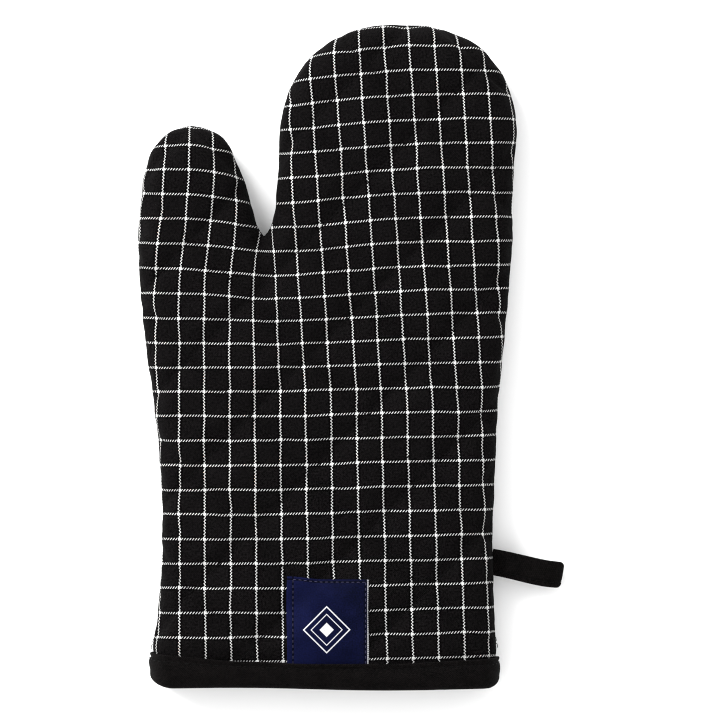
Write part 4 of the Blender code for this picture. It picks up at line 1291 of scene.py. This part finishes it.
def loop_point(reach, height, across):
    """Where a point of the loop is: out along the drooping tape, above its middle, and across its width."""
    out = np.array([math.cos(LOOP_SIDEWAYS), -math.sin(LOOP_SIDEWAYS), -math.tan(LOOP_DROOP)])
    square = np.array([math.sin(LOOP_SIDEWAYS), math.cos(LOOP_SIDEWAYS), 0.0])
    corner = np.clip((reach - (LOOP_LENGTH - LOOP_CORNER)) / LOOP_CORNER, 0.0, 1.0)
    rounded = LOOP_CORNER * (1 - np.sqrt(1 - 0.9 * corner**2)) / (LOOP_WIDTH / 2)
    share = np.clip(reach / LOOP_LENGTH, 0.0, 1.0)
    sway = -0.95 * MM * smooth_step(share / 0.75) + 0.5 * MM * smooth_step((share - 0.72) / 0.3)
    root = np.array([LOOP_ROOT[0], LOOP_ROOT[1], SEAM_Z + height])
    return root + reach * out + (across * (1.0 - rounded) + sway) * square


def loop_section():
    """The tape's own section: soft edges, and a shallow step along the stitched edge."""
    half = LOOP_WIDTH / 2
    lip = LOOP_TAPE / 2
    bend = np.linspace(0, math.pi, 7)[1:-1]
    upper = []
    for across in np.linspace(half - lip, -half + lip, LOOP_CELLS * 2):
        groove = 0.45 * MM * math.exp(-((across + half - LOOP_STITCH_INSET) / (0.6 * MM)) ** 2)
        upper.append((across, lip - groove))
    fold = [(-half + lip - lip * math.sin(angle), lip * math.cos(angle)) for angle in bend]
    lower = [(across, -lip) for across in np.linspace(-half + lip, half - lip, LOOP_CELLS)]
    other = [(half - lip + lip * math.sin(angle), -lip * math.cos(angle)) for angle in bend]
    return upper + fold + lower + other


def loop_tape(material):
    """A twill tape folded in half along its length, and looped with its two ends sewn into the side seam."""
    path, outward = loop_path()
    section = loop_section()
    vertices = []
    weave = []
    for spot, out, along in zip(path, outward, travelled(path)):
        for across, thick in section:
            wobble = 0.25 * MM * noise.noise(Vector((along * 90, across * 120, 2.0)))
            vertices.append(loop_point(*(spot + out * (thick + wobble * 0.5)), across))
            weave.append((along, across + (30 * MM if thick < 0 else 0.0)))
    return mesh_object("loop_tape", vertices, tube_faces(LOOP_STEPS, len(section)), material, weave)


def loop_stitches(material):
    """Stitches along one edge of the folded tape, on its upper run and its lower run."""
    path, outward = loop_path()
    across = -LOOP_WIDTH / 2 + LOOP_STITCH_INSET
    good = path[:, 0] > 1.5 * MM
    spots = path[good] + outward[good] * (LOOP_TAPE / 2 - 0.2 * MM)
    points = np.array([loop_point(*spot, across) for spot in spots])
    beside = np.array([loop_point(*spot, across + MM) for spot in spots]) - points
    normals = unit(np.cross(np.gradient(points, axis=0), beside))
    normals *= np.sign(normals[0, 2] * outward[good][0][1])
    return stitch_row("loop_stitches", [(points, normals)], material, length=2.4 * MM, gap=0.8 * MM)


# ======== camera, light and floor

def place_in_scene(name, data, place):
    """A new object for a camera's or a light's data."""
    item = bpy.data.objects.new(name, data)
    item.location = place
    bpy.context.scene.collection.objects.link(item)
    return item


def make_camera():
    """Straight down on the mitt, from far off."""
    data = bpy.data.cameras.new("camera")
    data.lens = LENS
    data.sensor_width = SENSOR
    data.clip_end = 20.0
    place = (*FRAME_CENTRE, FOCUS_PLANE_Z + FRAME_WIDTH * LENS / SENSOR)
    bpy.context.scene.camera = place_in_scene("camera", data, place)


def make_studio():
    """A pale floor, one large soft light from the upper left and an even white surround."""
    bpy.ops.mesh.primitive_plane_add(size=8.0, location=(0, 0, -0.3 * MM))
    floor = bpy.context.object
    floor.name = "floor"
    floor.data.materials.append(Graph("pale_floor", 0.9).finish((0.93, 0.93, 0.93)))
    data = bpy.data.lights.new("key_light", "AREA")
    data.size = LIGHT_SIZE
    data.energy = LIGHT_POWER
    light = place_in_scene("key_light", data, LIGHT_PLACE)
    light.rotation_mode = "QUATERNION"
    light.rotation_quaternion = (-Vector(LIGHT_PLACE)).to_track_quat("-Z", "Y")
    scene = bpy.context.scene
    scene.world = bpy.data.worlds.new("surround")
    scene.world.use_nodes = True
    background = scene.world.node_tree.nodes["Background"]
    background.inputs["Color"].default_value = (1.0, 1.0, 1.0, 1.0)
    background.inputs["Strength"].default_value = SURROUND
    scene.view_settings.view_transform = "Standard"
    scene.view_settings.look = "None"
    scene.cycles.denoising_prefilter = "NONE"
    scene.cycles.filter_width = 1.1


# ======== building everything

def main():
    make_camera()
    make_studio()
    layers = (checked_twill(), soft_wadding(), lining_cotton())
    tape_cloth = twill_tape()
    label_cloth = woven_label()
    black_thread = spun_thread("black_thread", (0.0002, 0.0002, 0.0002), (0.0022, 0.0021, 0.0021))
    label_thread = spun_thread("label_thread", (0.018, 0.017, 0.038), (0.048, 0.045, 0.082))
    seam = Seam()
    pattern = Pattern(seam)
    faces = {}
    for side, word in ((1, "front"), (-1, "back")):
        half, outer, lining, wadding = make_half(pattern, side, word, *layers)
        own(outer, "mitt", "checked_twill", f"outer_{word}_panel")
        own(lining, "mitt", "lining_cotton", f"lining_{word}")
        own(wadding, "mitt", "wadding", f"wadding_{word}")
        flat, area = half.cut_size()
        faces[word] = Face(outer, side)
        stitches = quilting(f"{word}_quilting", seam, faces[word], black_thread)
        own(stitches, "mitt", "black_thread", f"quilting_thread_{word}")
    mouth = Mouth()
    own(make_binding(mouth, tape_cloth), "mitt", "black_twill_tape", "cuff_binding")
    for outside, word in ((True, "outer"), (False, "inner")):
        row = binding_stitches(f"binding_stitches_{word}", mouth, outside, black_thread)
        own(row, "mitt", "black_thread", f"binding_stitch_{word}")
    label = own(make_label(faces["front"], label_cloth), "mitt", "navy_woven_label", "maker_label")
    on_label = Face(label, 1)
    paths = [on_label.at(places) for places in label_stitch_places()]
    row = stitch_row("label_stitches", paths, label_thread, length=1.6 * MM, gap=0.9 * MM, radius=0.16 * MM)
    own(row, "mitt", "black_thread", "label_stitch")
    own(seam_stitches(seam, black_thread), "mitt", "black_thread", "seam_stitch")
    tape = loop_tape(tape_cloth)
    sewing = loop_stitches(black_thread)
    for item, slot, node in ((tape, "black_twill_tape", "hanging_loop"),
                             (sewing, "black_thread", "loop_stitch")):
        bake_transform(item)
        own(item, None, slot, node)


main()
